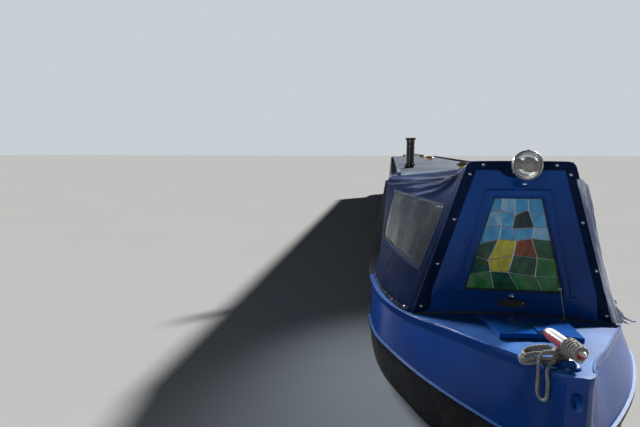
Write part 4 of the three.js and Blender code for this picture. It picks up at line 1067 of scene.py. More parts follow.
def make_cover():
    """The cloth with its hem round the board, and a clear pane on each side"""
    xs = cover_stations()
    rows = [cover_section(x) for x in xs]
    hem = front_hem(rows[0])
    half, count = (len(rows[0]) + 1) // 2, len(rows[0])
    first, last = (len(hem) + xs.index(x) for x in reversed(COVER_PANE_X))

    def in_pane(r, i):
        line = i if i < half else count - 2 - i
        return first <= r < last and FOOT_LINES <= line < FOOT_LINES + PANE_LINES

    cloth = Shape().grid([[p * MM for p in row] for row in hem + rows], in_pane)
    cover = cloth.make("fore_cover", "canvas", angle=70, thick=0.0018)
    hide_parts("cratch_cover")
    (x0, x1), (z0, z1) = COVER_PANE_X, COVER_PANE_Z
    for name, side in SIDES.items():
        grid = []
        for x in spaced(x1 + PANE_LAP, x0 - PANE_LAP, 26):
            line = [on_cover(x, z, side, 1.4 * math.sin(x / 61 + z / 90) - 2.2)[0] * MM
                    for z in spaced(z0 - PANE_LAP, z1 + PANE_LAP, 12)]
            grid.append(line)
        pane = Shape().grid(grid).make(f"cover_pane_{name}", "vinyl", angle=80, thick=0.0008)
        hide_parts(f"cover_window_{name}")
    sewn = cover_welts() + cover_seams()


def tape(shape, points, side, across, thick, out_by):
    """A flat tape on the cover's side along (x, z) points, bent over the folds under it"""
    rings = []
    for i, (x, z) in enumerate(points):
        a, b = points[max(i - 1, 0)], points[min(i + 1, len(points) - 1)]
        ahead = Vector((b[0] - a[0], b[1] - a[1])).normalized()
        low, high = [], []
        for share in (-1, -0.5, 0, 0.5, 1):
            placed, out = on_cover(x - ahead.y * across * share, z + ahead.x * across * share, side, out_by)
            low.append((placed - out * thick * 0.9) * MM)
            high.append((placed + out * thick * (0.7 - 0.35 * abs(share))) * MM)
        rings.append(low + high[::-1])
    shape.loft(rings)


def stitches(shape, points, side, offset, out_by):
    """A row of thread stitches beside a line of (x, z) points on the cover's side"""
    run = 6.0
    for a, b in zip(points, points[1:]):
        a, b = Vector(a), Vector(b)
        length = (b - a).length
        ahead = (b - a) / length
        across = Vector((-ahead.y, ahead.x))
        while run < length:
            spots = []
            for step, up in ((-3.4, -0.7), (0, 0.5), (3.4, -0.7)):
                p, out = on_cover(*(a + ahead * (run + step) + across * offset), side, out_by)
                spots.append(p + out * up)
            shape.tube(spots, 0.75, 5)
            run += 11.0
        run -= length


def stretch(a, b, pieces):
    """Points at even steps along a straight line"""
    return list(zip(spaced(a[0], b[0], pieces), spaced(a[1], b[1], pieces)))


def sew(name, thread_name, lines, thick, tape_out, thread_out):
    """Tapes along lines on both sides, given as (points, half width, stitch offset), and their stitches"""
    shape, thread = Shape(), Shape()
    for side in SIDES.values():
        for line, across, offset in lines:
            tape(shape, line, side, across, thick, tape_out)
            for way in (-offset, offset):
                stitches(thread, line, side, way, thread_out)
    return [shape.make(name, "binding", angle=40), thread.make(thread_name, "thread", angle=60)]


def cover_welts():
    """Bound and stitched edges round both clear panes"""
    (x0, x1), (z0, z1) = COVER_PANE_X, COVER_PANE_Z
    edges = [((x0 - 8, z0), (x1 + 8, z0), 60), ((x0 - 8, z1), (x1 + 8, z1), 60), ((x0, z0), (x0, z1), 20),
             ((x1, z0), (x1, z1), 20)]
    lines = [(stretch(*edge), 11, 7.5) for edge in edges]
    return sew("cover_welts", "cover_pane_stitches", lines, 2.0, 2.4, 3.5)


def cover_seams():
    """Lapped seams along the shoulders and across the middle, and the hem along the gunwale"""
    xs = spaced(7380, 5860, 90)
    along = [(x, cover_row(x)["shoulder_z"] - 64) for x in xs]
    hem = [(x, cover_row(x)["foot_z"] + HEM_UP) for x in xs]
    row = cover_row(SEAM_X)
    lower = stretch((SEAM_X, row["foot_z"] + 30), (SEAM_X, COVER_PANE_Z[0] - PANE_LAP), 24)
    upper = stretch((SEAM_X, COVER_PANE_Z[1] + PANE_LAP), (SEAM_X, row["shoulder_z"] - 72), 20)
    lines = [(line, across, across * 0.7 - 0.35)
             for line, across in ((along, 7), (hem, 13), (lower, 6), (upper, 6))]
    return sew("cover_seams", "cover_seam_stitches", lines, 1.7, 1.4, 2.3)


# Height of the hem's middle over the cover's foot
HEM_UP = 16
PRESS_STUD = [(10.5, -1.5), (11, 0), (10.2, 1.4), (7.5, 2.2), (7.2, 3.4), (5.6, 5.2), (3.0, 6.3), (0, 6.7)]
# Studs of the front hem: across the board and above its foot, in metres
FRONT_STUDS = [(-0.315, 1.001), (-0.403, 0.692), (-0.503, 0.377), (-0.603, 0.064), (0.312, 1.002),
               (0.408, 0.69), (0.515, 0.37), (0.603, 0.064), (-0.232, 1.064), (0.223, 1.063)]


def make_cover_fittings():
    """Domed press studs on the front hem and along the gunwale, and slack straps at the foot"""
    studs, straps = Shape(), Shape()
    for y, up in FRONT_STUDS:
        studs.lathe(PRESS_STUD, (BOARD_X + 4.6, y / MM, BOARD_FOOT_Z + up / MM), "x", 20)
    for side in SIDES.values():
        for x in spaced(7330, 5980, 7):
            p, out = on_cover(x, cover_row(x)["foot_z"] + HEM_UP, side, 2.2)
            studs.lathe(PRESS_STUD, p, (X_AXIS, out.cross(X_AXIS), out), 16)
        for x in (7240, 6980, 6420):
            row = cover_row(x)
            points = []
            for t in spaced(0, 1, 8):
                y = row["foot"] + 8 + 4 * math.sin(math.pi * t)
                points.append((x + 5 * math.sin(2.4 * t + side), side * y, row["foot_z"] + 60 - 58 * t))
            straps.bar(points, 2.0, 24, up=(1, 0, 0.2))
    studs.make("cover_studs", "chrome", angle=50)
    straps.make("cover_straps", "webbing", bevel=0.0005)


GLARE_LINING_TOP, GLARE_LINING_FOOT = 2138, 1186
GLARE_LINING_LINES, GLARE_LINING_COLUMNS = 110, 44
GLARE_LINING_TAILS = [((7448, 648, 1262), (7452, 700, 1222), (7440, 752, 1196), (7424, 792, 1186)),
                ((7446, 646, 1246), (7450, 690, 1204), (7442, 730, 1180), (7428, 757, 1171)),
                ((7444, 652, 1290), (7446, 676, 1262), (7440, 700, 1236), (7436, 712, 1204))]


def glare_lining_line(t):
    """One gathered line across the pale strip, at a share of its length from the top"""
    z = mix(GLARE_LINING_TOP, GLARE_LINING_FOOT, t)
    edge = board_half(z) + 12
    width = 10 + 28 * smooth(t / 0.05) - 30 * smooth((t - 0.08) / 0.5) + 40 * smooth((t - 0.74) / 0.26)
    back = cover_y(cover_row(7360), z) + 4
    ragged = 14 * noise.noise(Vector((t * 7, 3.0, 1.0)))
    anchors = [(7459.5, edge - 26), (7464, edge - 14), (7466, edge), (7460, edge + width * 0.5),
               (7446, edge + width * 0.95), (7428, edge + width), (7412, max(edge + width * 0.6, back + 8)),
               (7396 + ragged, back + 3)]
    wander = 0.6 * math.sin(4 * t + 1) + 0.35 * math.sin(11 * t)
    line = []
    for s in spaced(0, 1, GLARE_LINING_COLUMNS):
        u = s * (len(anchors) - 1)
        i = min(int(u), len(anchors) - 2)
        x, y = (mix(a, b, u - i) for a, b in zip(anchors[i], anchors[i + 1]))
        hold = math.sin(math.pi * s) ** 0.7
        crease = math.sin(TAU * (3.6 * s + wander))
        small = math.sin(TAU * (8.3 * s + 1.7 * wander + 0.4))
        fine = noise.noise(Vector((s * 6, t * 14, 2.0)))
        y += (6.5 * crease + 2.2 * small + 4 * fine) * hold
        x += (6 * crease * math.cos(3 * t) + 2.5 * fine) * hold
        line.append(Vector((x, y, z + 5 * fine)) * MM)
    return line


def make_side_glare_lining():
    """The pale edge of the port side sheet, gathered round the board's edge, with loose strap ends; its pale
    cloth also stands in for sun glare on the cover's port side, a painted highlight
    """
    # Pale strip partly put where sun glare lights the cover's port side: a painted highlight as a sheet
    rows = [glare_lining_line(t) for t in spaced(0, 1, GLARE_LINING_LINES)]
    lining_glare = Shape().grid(rows).make("side_glare_lining_port", "lining_glare", angle=80, thick=0.0014)
    straps = Shape()
    for i, points in enumerate(GLARE_LINING_TAILS):
        straps.bar(spline(points, 9), 2.4, 15 - 2 * i, up=(0.3, 0.5, 1))
    loose = straps.make("side_glare_lining_straps", "lining_glare", bevel=0.0005)


# Places on the pull cord: off the board's face, across and up
PULL_CORD = [(27, 296, 1399), (31, 297, 1390), (33, 301, 1360), (36, 310, 1310), (44, 318, 1262),
             (60, 322, 1216), (74, 322, 1199), (92, 318, 1194.5), (118, 308, 1194)]
PULL_HOOK = [(16, 296, 1402), (28, 296, 1400), (32, 296, 1408), (28, 296, 1415)]
KNOT = [(0.4, -6), (3, -5.6), (5.2, -3.2), (5.6, 0), (4.6, 3.4), (5.4, 5.2), (4.2, 8), (1.6, 9.6),
        (0.3, 9.8)]


def off_board(points):
    return [(BOARD_X + x, y, z) for x, y, z in points]


def make_pull_cord():
    """A thin pale cord that hangs from a hook at the sill's port end down to the deck"""
    hook = Shape()
    hook.lathe([(9, -1), (9.5, 1.5), (6, 3.4), (0, 3.8)], (BOARD_X + 15, 296, 1402), "x", 20)
    hook.tube(spline(off_board(PULL_HOOK), 2), 2.2, 10)
    hook.make("pull_cord_hook", "chrome", angle=50)
    path = spline(off_board(PULL_CORD), 2.5)
    cord = Shape().loft(laid_rings(path, 1.8, 11, sides=12)).make("pull_cord", "twine", angle=60)
    knot = Shape().lathe(KNOT, path[-1], (Z_AXIS, (0.3, 0.95, 0), (0.95, -0.3, 0)), 14)
    tied = knot.make("pull_cord_knot", "twine", angle=50)


# Board: leaded window, seal, vent slot, catch

WINDOW_ROWS = 6
WINDOW_COLUMNS = 4
# Each glass look: its pale and its deep colour
GLASS_COLOURS = {
    "glass_sky": ((0.12, 0.46, 0.72), (0.04, 0.28, 0.55)),
    "glass_haze": ((0.3, 0.56, 0.72), (0.1, 0.36, 0.6)),
    "glass_leaf": ((0.05, 0.26, 0.07), (0.01, 0.12, 0.03)),
    "glass_moss": ((0.03, 0.14, 0.06), (0.008, 0.05, 0.03)),
    "glass_amber": ((0.72, 0.66, 0.08), (0.42, 0.4, 0.04)),
    "glass_rust": ((0.3, 0.08, 0.04), (0.12, 0.03, 0.02)),
    "glass_night": ((0.03, 0.07, 0.08), (0.01, 0.03, 0.04)),
}
# The colour of each pane, row by row from the foot
PANES = ("leaf moss leaf leaf moss amber moss leaf moss amber rust moss "
         "sky sky sky haze haze sky night sky sky haze sky sky").split()
GLASS_FACE_X = BOARD_X - 10
# Section of a lead came: across it and out of the glass
CAME = ((-3.4, 0.2), (-2.2, 2), (0, 2.8), (2.2, 2), (3.4, 0.2), (3.4, -6.2), (0, -7.4), (-3.4, -6.2))
# Section of the window's gasket: inset from the opening and place along X
GASKET = ((0.4, BOARD_X - 10), (0.4, BOARD_X + 3), (3, BOARD_X + 5.5), (7, BOARD_X + 3.5), (9, BOARD_X - 2),
          (9, BOARD_X - 10))


def window_point(u, v, inset):
    """A place in the board's window: u across from starboard to port, v up, both from 0 to 1"""
    z = mix(PANE_FOOT_Z + inset, PANE_TOP_Z - inset, v)
    share = (z - PANE_FOOT_Z) / (PANE_TOP_Z - PANE_FOOT_Z)
    half = mix(PANE_FOOT_HALF, PANE_TOP_HALF, share) - inset
    return Vector((0, mix(-half, half, u), z))


def window_knots():
    """Corners of the coloured panes, the inner ones off their even places"""
    rng = random.Random(23)
    knots = []
    for r in range(WINDOW_ROWS + 1):
        line = []
        for c in range(WINDOW_COLUMNS + 1):
            u, v = c / WINDOW_COLUMNS, (r / WINDOW_ROWS) ** 0.92
            if 0 < r < WINDOW_ROWS:
                v += rng.uniform(-0.045, 0.045)
            if 0 < c < WINDOW_COLUMNS:
                u += rng.uniform(-0.075, 0.075)
            line.append(window_point(u, v, 2))
        knots.append(line)
    return knots


def moved_to(x, points):
    """A ring in metres, moved to one place along X"""
    return [Vector((x, q.y, q.z)) * MM for q in points]


def rounded_frame(inset, bend):
    """Corners of a frame round the window, each turned through a short bend"""
    corners = [window_point(u, v, inset) for u, v in ((0, 0), (1, 0), (1, 1), (0, 1))]
    path = []
    for i, q in enumerate(corners):
        a, b = (q.lerp(other, bend / (other - q).length) for other in (corners[i - 1], corners[(i + 1) % 4]))
        path += [rounded(a, q, b, t) for t in spaced(0, 1, 4)]
    return path


def make_board_window():
    """Coloured panes between lead cames, with a gasket round them"""
    knots = window_knots()
    panes = Shape()
    for k, colour in enumerate(PANES):
        r, c = divmod(k, WINDOW_COLUMNS)
        corners = (knots[r][c], knots[r][c + 1], knots[r + 1][c + 1], knots[r + 1][c])
        middle = sum(corners, Vector()) / 4
        rings = [moved_to(GLASS_FACE_X - deep, [middle.lerp(q, shrink) for q in corners])
                 for deep, shrink in ((5, 0.995), (1, 0.995), (0, 0.97))]
        panes.loft(rings, mark=list(GLASS_COLOURS).index(f"glass_{colour}"))
    glass = panes.make("board_window", *GLASS_COLOURS, angle=30)
    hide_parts("cratch_glass")
    lead = Shape()
    lines = []
    for r in range(WINDOW_ROWS + 1):
        for c in range(WINDOW_COLUMNS + 1):
            if c < WINDOW_COLUMNS:
                lines.append((knots[r][c], knots[r][c + 1]))
            if r < WINDOW_ROWS:
                lines.append((knots[r][c], knots[r + 1][c]))
    for a, b in lines:
        across = (b - a).normalized().cross(X_AXIS).normalized()
        rings = []
        for p in (a, a.lerp(b, 0.5), b):
            places = [(p + across * w, rise) for w, rise in CAME]
            rings.append([Vector((GLASS_FACE_X + rise, q.y, q.z)) * MM for q, rise in places])
        lead.loft(rings)
    for line in knots[1:-1]:
        for q in line[1:-1]:
            lead.lathe([(7.6, 0.2), (7.0, 2.4), (4.6, 3.9), (0, 4.4)], (GLASS_FACE_X, q.y, q.z), "x", 14)
    lead.make("board_window_leads", "lead", angle=40)
    seal = Shape().loft([moved_to(x, rounded_frame(inset, 14)) for inset, x in GASKET], caps=False)
    seal.make("board_window_gasket", "rubber", slot="window_glass", angle=50)


def make_board_trims():
    """Half-round beads on the moulding's inner and outer edges"""
    shape = Shape()
    for inset, bend, x, r in ((-47, 16, BOARD_X + 11, 6.5), (-8, 12, BOARD_X + 12.5, 5)):
        path = rounded_frame(inset, bend)
        rings = []
        for i, q in enumerate(path):
            across = (path[(i + 1) % len(path)] - path[i - 1]).normalized().cross(X_AXIS).normalized()
            rings.append(ring_round(Vector((x, q.y, q.z)), across, X_AXIS, 12, r))
        shape.hoop(rings)
    shape.make("board_beads", "royal", angle=60)


# The vent under the window: its back and front faces, half width, foot and top
VENT_BACK_X, VENT_FRONT_X = BOARD_X - 1, BOARD_X + 3.5
VENT_HALF, VENT_FOOT_Z, VENT_TOP_Z = 88, 1262, 1306
CATCH = [(17, -2), (17.5, 1.5), (16, 3.5), (9, 4.4), (8.2, 8), (11.5, 11), (12.5, 15), (11, 18.5), (6.5, 20),
         (0, 20.3)]


def oval(grow, x):
    """The vent's outline, with round ends"""
    middle, radius = (VENT_FOOT_Z + VENT_TOP_Z) / 2, (VENT_TOP_Z - VENT_FOOT_Z) / 2
    ring = []
    for side in (1, -1):
        for k in range(11):
            turn = -math.pi / 2 + math.pi * k / 10
            y = side * (VENT_HALF - radius + (radius + grow) * math.cos(turn))
            ring.append(Vector((x, y, middle + side * (radius + grow) * math.sin(turn))) * MM)
    return ring


def turned(name, look, profile, centre, axis, sides, caps=True, **settings):
    """A piece that is a single turned form"""
    return Shape().lathe(profile, centre, axis, sides, caps).make(name, look, **settings)


def make_board_details():
    """The seal along the board's foot, a black strip that also stands in for the shade where the board meets
    the deck; the slotted vent with its screw, and the catch
    """
    # Black seal strip, partly painted shade: a dark strip put where the board shades the deck at its foot
    seal = Shape()
    seal.bar([(BOARD_X + 6, y, deck_z(BOARD_X + 6, y) - 1) for y in spaced(-648, 648, 24)], 13, 11)
    seal.make("board_seal_and_shade", "rubber", bevel=0.002)
    low, high = VENT_BACK_X, VENT_FRONT_X
    vent = Shape().loft([oval(4, low), oval(4, high), oval(2.5, high + 1.2), oval(-4, high + 1.2),
                         oval(-5.5, high), oval(-5.5, low + 1.5)])
    for y in spaced(-62, 42, 6):
        vent.block((low + 1, y - 2, VENT_FOOT_Z + 6), (high, y + 2, VENT_TOP_Z - 6))
    vent.make("board_vent", "rubber", angle=40)
    spot = (high + 0.5, VENT_HALF - 16, (VENT_FOOT_Z + VENT_TOP_Z) / 2)
    pan = [(7.4, -1), (7.6, 1.2), (6.6, 3.4), (4.2, 4.4), (0, 4.7)]
    turned("board_vent_screw", "chrome", pan, spot, "x", 20, angle=50)
    turned("board_catch", "chrome", CATCH, (BOARD_X + 21, -10, 1338), "x", 28, angle=40)


# Tunnel lamp: profiles of radius and place along X

LAMP_X, LAMP_Z = 7586, 2230
LAMP = (LAMP_X, 0, LAMP_Z)
LENS_R = 82
BOWL = [(0, -96), (12, -95.4), (28, -90), (43, -80), (57, -66), (69, -50), (78, -32), (83.5, -12), (85.5, 0),
        (86.5, 6), (86.5, 20), (84, 20), (83, 4), (80, -12), (73, -30), (63, -48), (50, -63), (36, -74),
        (20, -79), (0, -81)]
BEZEL = [(85, 2), (89, 1), (92.4, 4), (93, 9), (92, 13), (92.8, 17), (93.4, 22), (92.2, 26), (89.5, 29.4),
         (85.5, 30), (82.6, 28), (81.4, 24), (82, 21), (84, 18), (85, 12)]
REFLECTOR = [(82, 17), (80, 8), (75, -10), (66, -29), (52, -46), (35, -58), (17, -64), (15, -66), (0, -66)]
BULB = [(11, -66), (11, -48), (9, -44), (9.5, -38), (15, -28), (18, -17), (17, -6), (11, 3), (5, 6),
        (0, 6.6)]
LAMP_LEAD = [(LAMP_X - 84, 0, 2188), (LAMP_X - 98, 4, 2160), (LAMP_X - 104, 7, 2128),
             (BOARD_X + 10, 8, 2104), (BOARD_X + 3, 8, 2092)]


def make_lamp():
    """Bowl, rim, reflector, bulb, ribbed lens, nuts and the lead into the board"""
    shell = turned("lamp_bowl", "lamp_blue", BOWL, LAMP, "x", 64, caps=False, angle=40)
    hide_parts("lamp_shell")
    bezel = Shape().lathe(BEZEL, LAMP, "x", 72, caps=False)
    for turn in (90, 210, 330):
        a = math.radians(turn)
        spot = (LAMP_X + 15, 93.5 * math.cos(a), LAMP_Z + 93.5 * math.sin(a))
        out = Vector((0, math.cos(a), math.sin(a)))
        bezel.lathe([(6.5, -4), (6.5, 1), (4.8, 3.4), (0, 4)], spot, (X_AXIS, out.cross(X_AXIS), out), 14)
    bezel.make("lamp_bezel", "bezel", angle=50)
    turned("lamp_reflector", "reflector", REFLECTOR, LAMP, "x", 64, caps=False, angle=40)
    turned("lamp_bulb", "bulb", BULB, LAMP, "x", 28, angle=40)
    outer, inner = [], []
    for k in range(25):
        r = LENS_R * k / 24
        crown = 1 - (r / LENS_R) ** 2
        outer.append((r, 21 + 12 * crown + 0.55 * math.cos(k * math.pi)))
        inner.append((r, 17.5 + 10 * crown))
    glass = turned("lamp_glass", "lens", outer[::-1] + inner, LAMP, "x", 64, caps=False, angle=60)
    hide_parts("lamp_lens")
    nuts = Shape().lathe([(15, 0), (15, 7), (11, 8), (11, 16), (0, 16.5)], (LAMP_X - 19, 0, 2107), "z", 6)
    nuts.lathe([(8, 0), (8, 6), (5, 9)], (LAMP_X - 82, 0, 2190), (X_AXIS, Y_AXIS, -Z_AXIS), 16)
    nuts.make("lamp_nuts", "chrome", bevel=0.0008)
    wire = spline(LAMP_LEAD, 4)
    lead = Shape().tube(wire, 3.2, 12).make("lamp_lead", "rubber", angle=60)


# The locker lid: its top over the deck and the ends of its rib
LID_TOP = 35.2
LID_RIB_X = (7658, 8060)


def make_foredeck():
    """The lid's rib and hasp, and the weld bead along both deck edges"""
    ridge = Shape().bar([(x, 0, deck_z(x) + LID_TOP) for x in spaced(*LID_RIB_X, 8)], 26, 6)
    ridge.make("locker_lid_rib", "royal", body="lid", bevel=0.002)
    hasp = Shape().bar([(x, 0, deck_z(x) + up) for x, up in ((8035, 41), (8062, 40), (8072, 33))], 22, 4)
    hasp.make("locker_lid_hasp", "chrome", body="lid", bevel=0.001)
    weld = Shape()
    for side in SIDES.values():
        points = []
        for x in spaced(BOW_END_X + 16, 8480, 30):
            y = hull_at(x)["deck"] - 7
            points.append((x, side * y, deck_z(x, y) + 0.5))
        weld.tube(points, 5.0, 8)
    weld.make("deck_edge_weld", "hull", angle=60)


# Cabin sides: window frames, door panels, roof fittings

WINDOW_CENTRES = (4350, 1750, -850, -3450)
WINDOW_HALF = (480, 230)
WINDOW_MIDDLE_Z = 1620
CORNER_CUT = 60
# Sections of a frame and its gasket: growth over the opening and distance out of the wall
FRAME_SECTION = ((-1.5, -20), (-1.5, 5), (2, 8), (18, 8), (25, 5.5), (28, 0.2), (12, -0.5), (1.0, -0.5),
                 (0.9, -20))
GASKET_SECTION = ((-2, -19), (-6, -17), (-7, -12), (-2, -12))
RAIL_KNOB = [(7, -14), (7, -4), (11, -2), (11, 3), (6, 6), (0, 6.5)]
FRAME_SCREW = [(4.6, -1), (4.4, 1), (2.6, 1.9), (0, 2.1)]


def octagon(grow):
    """A cabin window's outline about its middle, grown on all sides"""
    hx, hz = WINDOW_HALF[0] + grow, WINDOW_HALF[1] + grow
    cut = CORNER_CUT + grow * 0.586
    right = [(hx, -hz + cut), (hx, hz - cut), (hx - cut, hz)]
    return right + [(-x, z) for x, z in right[::-1]] + [(-hx + cut, -hz), (hx - cut, -hz)]


def on_wall(x, z, out_by, side):
    """A place out from the cabin side's leaning face"""
    lean = (CABIN_FOOT_Y - CABIN_TOP_Y) / (EAVES_Z - GUNWALE_Z)
    out = Vector((0, 1, lean)).normalized()
    return mirrored(Vector((x, wall_y(z), z)) + out * out_by, side)


def window_rings(centre, section, side):
    return [[on_wall(centre + x, WINDOW_MIDDLE_Z + z, out_by, side) * MM for x, z in octagon(grow)]
            for grow, out_by in section]


def make_cabin_windows():
    for name, side in SIDES.items():
        frames, rubbers = Shape(), Shape()
        outward = (X_AXIS, Z_AXIS, (0, side, 0))
        for centre in WINDOW_CENTRES:
            frames.hoop(window_rings(centre, FRAME_SECTION, side))
            rail = [on_wall(centre + x, 1745, -14, side) for x in (-478, -160, 160, 478)]
            frames.bar(rail, 9, 12, up=(0, side, 0.1))
            for x in (-150, 150):
                frames.lathe(RAIL_KNOB, on_wall(centre + x, 1738, 0, side), outward, 16)
            corners = octagon(13)
            for a, b in zip(corners, corners[1:] + corners[:1]):
                steps = 4 if abs(a[0] - b[0]) > 500 else 2 if abs(a[1] - b[1]) > 200 else 1
                for k in range(steps):
                    t = (k + 0.5) / steps
                    x, z = centre + mix(a[0], b[0], t), WINDOW_MIDDLE_Z + mix(a[1], b[1], t)
                    frames.lathe(FRAME_SCREW, on_wall(x, z, 7.6, side), outward, 10)
            rubbers.hoop(window_rings(centre, GASKET_SECTION, side))
        frames.make(f"window_frames_{name}", "brass", angle=40)
        rubbers.make(f"window_gaskets_{name}", "rubber", angle=40)


# Each pair of doors: place along X, the way they face, half width, foot and top
DOORS = {"fore": (CABIN_FRONT_X, 1, 330, 700, 1900), "aft": (CABIN_REAR_X, -1, 305, 1140, 2070)}
# Section of a raised panel: inset from its edge and distance out of the door
PANEL_SECTION = ((0, -0.5), (0, 4), (5, 6.5), (13, 6.5), (18, 3), (18, 0.6))
DOOR_KNOB = [(15, -0.5), (15.5, 1.5), (9, 3), (7, 4.4), (0, 4.8)]


def make_doors():
    for which, (face, way, half, low, high) in DOORS.items():
        y0, y1 = 40, half - 66
        mid = mix(low, high, 0.52)
        for name, side in SIDES.items():
            panel = Shape()
            for z0, z1 in ((low + 90, mid - 30), (mid + 30, high - 90)):
                rings = []
                for inset, out_by in PANEL_SECTION:
                    left, right, foot, top = y0 + inset, y1 - inset, z0 + inset, z1 - inset
                    corners = ((left, foot), (right, foot), (right, top), (left, top))
                    rings.append([Vector((face + way * out_by, side * y, z)) * MM for y, z in corners])
                panel.loft(rings)
            body = f"{which}_door_{name}"
            panel.make(f"{which}_door_panels_{name}", "cabin", body=body, bevel=0.001)
            turned(f"{which}_door_knob_{name}", "brass", DOOR_KNOB, (face, side * 24, mid),
                   (Y_AXIS, Z_AXIS, (way, 0, 0)), 24, body=body, angle=40)


CHIMNEY = (4000, -570)
# Each band on the chimney: its foot's height and its width
CHIMNEY_BANDS = ((2366, 12), (2438, 16))
HATCH_HANDLE_X = -6392
# The handle from one foot to its middle, across and up
HANDLE_HALF = [(-90, 2148), (-90, 2166), (-72, 2176), (0, 2179)]


def make_roof_fittings():
    bands = Shape()
    for z, width in CHIMNEY_BANDS:
        profile = [(55, -1), (57.4, 0), (58, width * 0.5), (57.4, width), (55, width + 1)]
        bands.lathe(profile, (*CHIMNEY, z), "z", 48, caps=False)
    bands.make("chimney_bands", "copper", angle=50)
    across = HANDLE_HALF + [(-y, z) for y, z in HANDLE_HALF[-2::-1]]
    handle = Shape().tube(spline([(HATCH_HANDLE_X, y, z) for y, z in across], 6), 6.5, 12)
    for y in (-90, 90):
        handle.lathe([(15, -0.5), (15, 2), (9, 4.5), (7, 5)], (HATCH_HANDLE_X, y, 2150), "z", 20)
    handle.make("hatch_handle", "brass", body="hatch", angle=50)


# Stern

FENDER_FRONT, FENDER_BACK = -8258, -8598
FENDER_HALF = 206
FENDER_Z = 895
FENDER_TALL = 122
FENDER_CORD = 34
FENDER_TURNS = 12
FENDER_STEPS = 40
END_COIL_STEPS = 2.6 * FENDER_STEPS


def squared(n):
    """A cosine or sine pushed outward, which squares a round section a little"""
    return math.copysign(abs(n) ** 0.8, n)


def round_fender(turn, y):
    """The fender's surface at an angle round it and a place across"""
    slim = max(0.0, 1 - abs(y / (FENDER_HALF + 22)) ** 3.2) ** 0.5
    depth = (FENDER_FRONT - FENDER_BACK) / 2 * mix(0.5, 1.0, slim) - FENDER_CORD / 2
    rise = FENDER_TALL * mix(0.5, 1.0, slim) - FENDER_CORD / 2
    x = FENDER_FRONT - FENDER_CORD / 2 - depth + squared(math.cos(turn)) * depth
    return Vector((x, y, FENDER_Z + squared(math.sin(turn)) * rise))


def fender_middle(y):
    return round_fender(0, y).lerp(round_fender(math.pi, y), 0.5)


def end_coil(sign):
    """The rope's flat turns on one end, from the middle outward"""
    edge = sign * (FENDER_HALF - 4)
    middle = fender_middle(edge)
    coil = []
    for k in range(int(END_COIL_STEPS)):
        share = 0.1 + 0.9 * k / END_COIL_STEPS
        p = middle + (round_fender(sign * TAU * (share - 1) * 2.9, edge) - middle) * share
        tucked = 34 * max(0, 1 - k / (0.35 * FENDER_STEPS))
        p.y = edge + sign * (13 * (1 - share * share) - tucked)
        coil.append(p)
    return coil


def make_fender():
    """A rope fender: thick rope wound side by side round a padded core, slimmer at both ends"""
    winding = [round_fender(-TAU * FENDER_TURNS * share, mix(4 - FENDER_HALF, FENDER_HALF - 4, share))
               for share in spaced(0, 1, FENDER_TURNS * FENDER_STEPS)]
    path = spline(end_coil(-1) + winding + end_coil(1)[::-1], 8)

    def size(i):
        """The rope's radius, which tapers at its two tips"""
        return FENDER_CORD / 2 * min(1, 0.25 + min(i, len(path) - 1 - i) / 4)

    wound = Shape().loft(laid_rings(path, size, 96, 0.64, 0.4, 0.7))
    core = []
    for k, y in enumerate(spaced(-FENDER_HALF - 8, FENDER_HALF + 8, 30)):
        middle = fender_middle(y)
        shrink = 0.9 if 0 < k < 30 else 0.5
        core.append([(middle + (round_fender(TAU * j / 36, y) - middle) * shrink) * MM for j in range(36)])
    fender = wound.loft(core).make("stern_fender_rope", "fender", angle=70)
    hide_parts("stern_fender")
    fixing = Shape()
    top = FENDER_Z + FENDER_TALL
    for side in (-1, 1):
        hang = [(-88, 150, -40), (-84, 150, 2), (-58, 149, 30), (-18, 148, 38), (22, 147, 36)]
        fixing.tube(spline([(FENDER_FRONT + x, side * y, top + z) for x, y, z in hang], 5), 7, 12)
    fixing.make("stern_fender_hangers", "chimney", angle=50)


SCREW = (-7775, 0, 300)
HUB = [(0, -62), (9, -60), (18, -55), (27, -46), (34, -34), (36, -20), (36, 44), (33, 50), (0, 50)]


def blade_rings(spoke, across):
    """Sections of one blade from its root to its tip"""
    rings = []
    for t in spaced(0, 1, 12):
        r = mix(28, 211, t)
        chord = 150 * math.sin(math.pi * (0.13 + 0.83 * t) ** 0.9) ** 0.6 * (1 - 0.9 * t ** 7)
        pitch = math.atan2(0.24, 0.30 * (0.25 + t)) * 0.72
        lean = across * math.cos(pitch) + X_AXIS * math.sin(pitch)
        flat = X_AXIS * math.cos(pitch) - across * math.sin(pitch)
        thick = mix(9, 2.2, t)
        ring = []
        for s in range(18):
            a = TAU * s / 18
            w = math.cos(a) * chord / 2 + 10 * math.sin(math.pi * t)
            b = math.sin(a) * thick / 2 + 0.0006 * w * w
            ring.append((Vector(SCREW) + spoke * r + lean * w * 0.62 + flat * b) * MM)
        rings.append(ring)
    return rings


def make_propeller():
    made = Shape().lathe(HUB, SCREW, "x", 40).lathe([(18, 40), (18, 122), (0, 122)], SCREW, "x", 24)
    for blade in range(3):
        turn = TAU * blade / 3
        made.loft(blade_rings(Vector((0, math.cos(turn), math.sin(turn))),
                              Vector((0, -math.sin(turn), math.cos(turn)))))
    wheel = made.make("propeller_wheel", "bronze", body="screw", angle=35)
    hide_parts("propeller")


# Finishes

BRASS = ((0.72, 0.5, 0.2), (0.32, 0.2, 0.08))
CABIN_BLUES = ((0.004, 0.045, 0.25), (0.002, 0.026, 0.15))


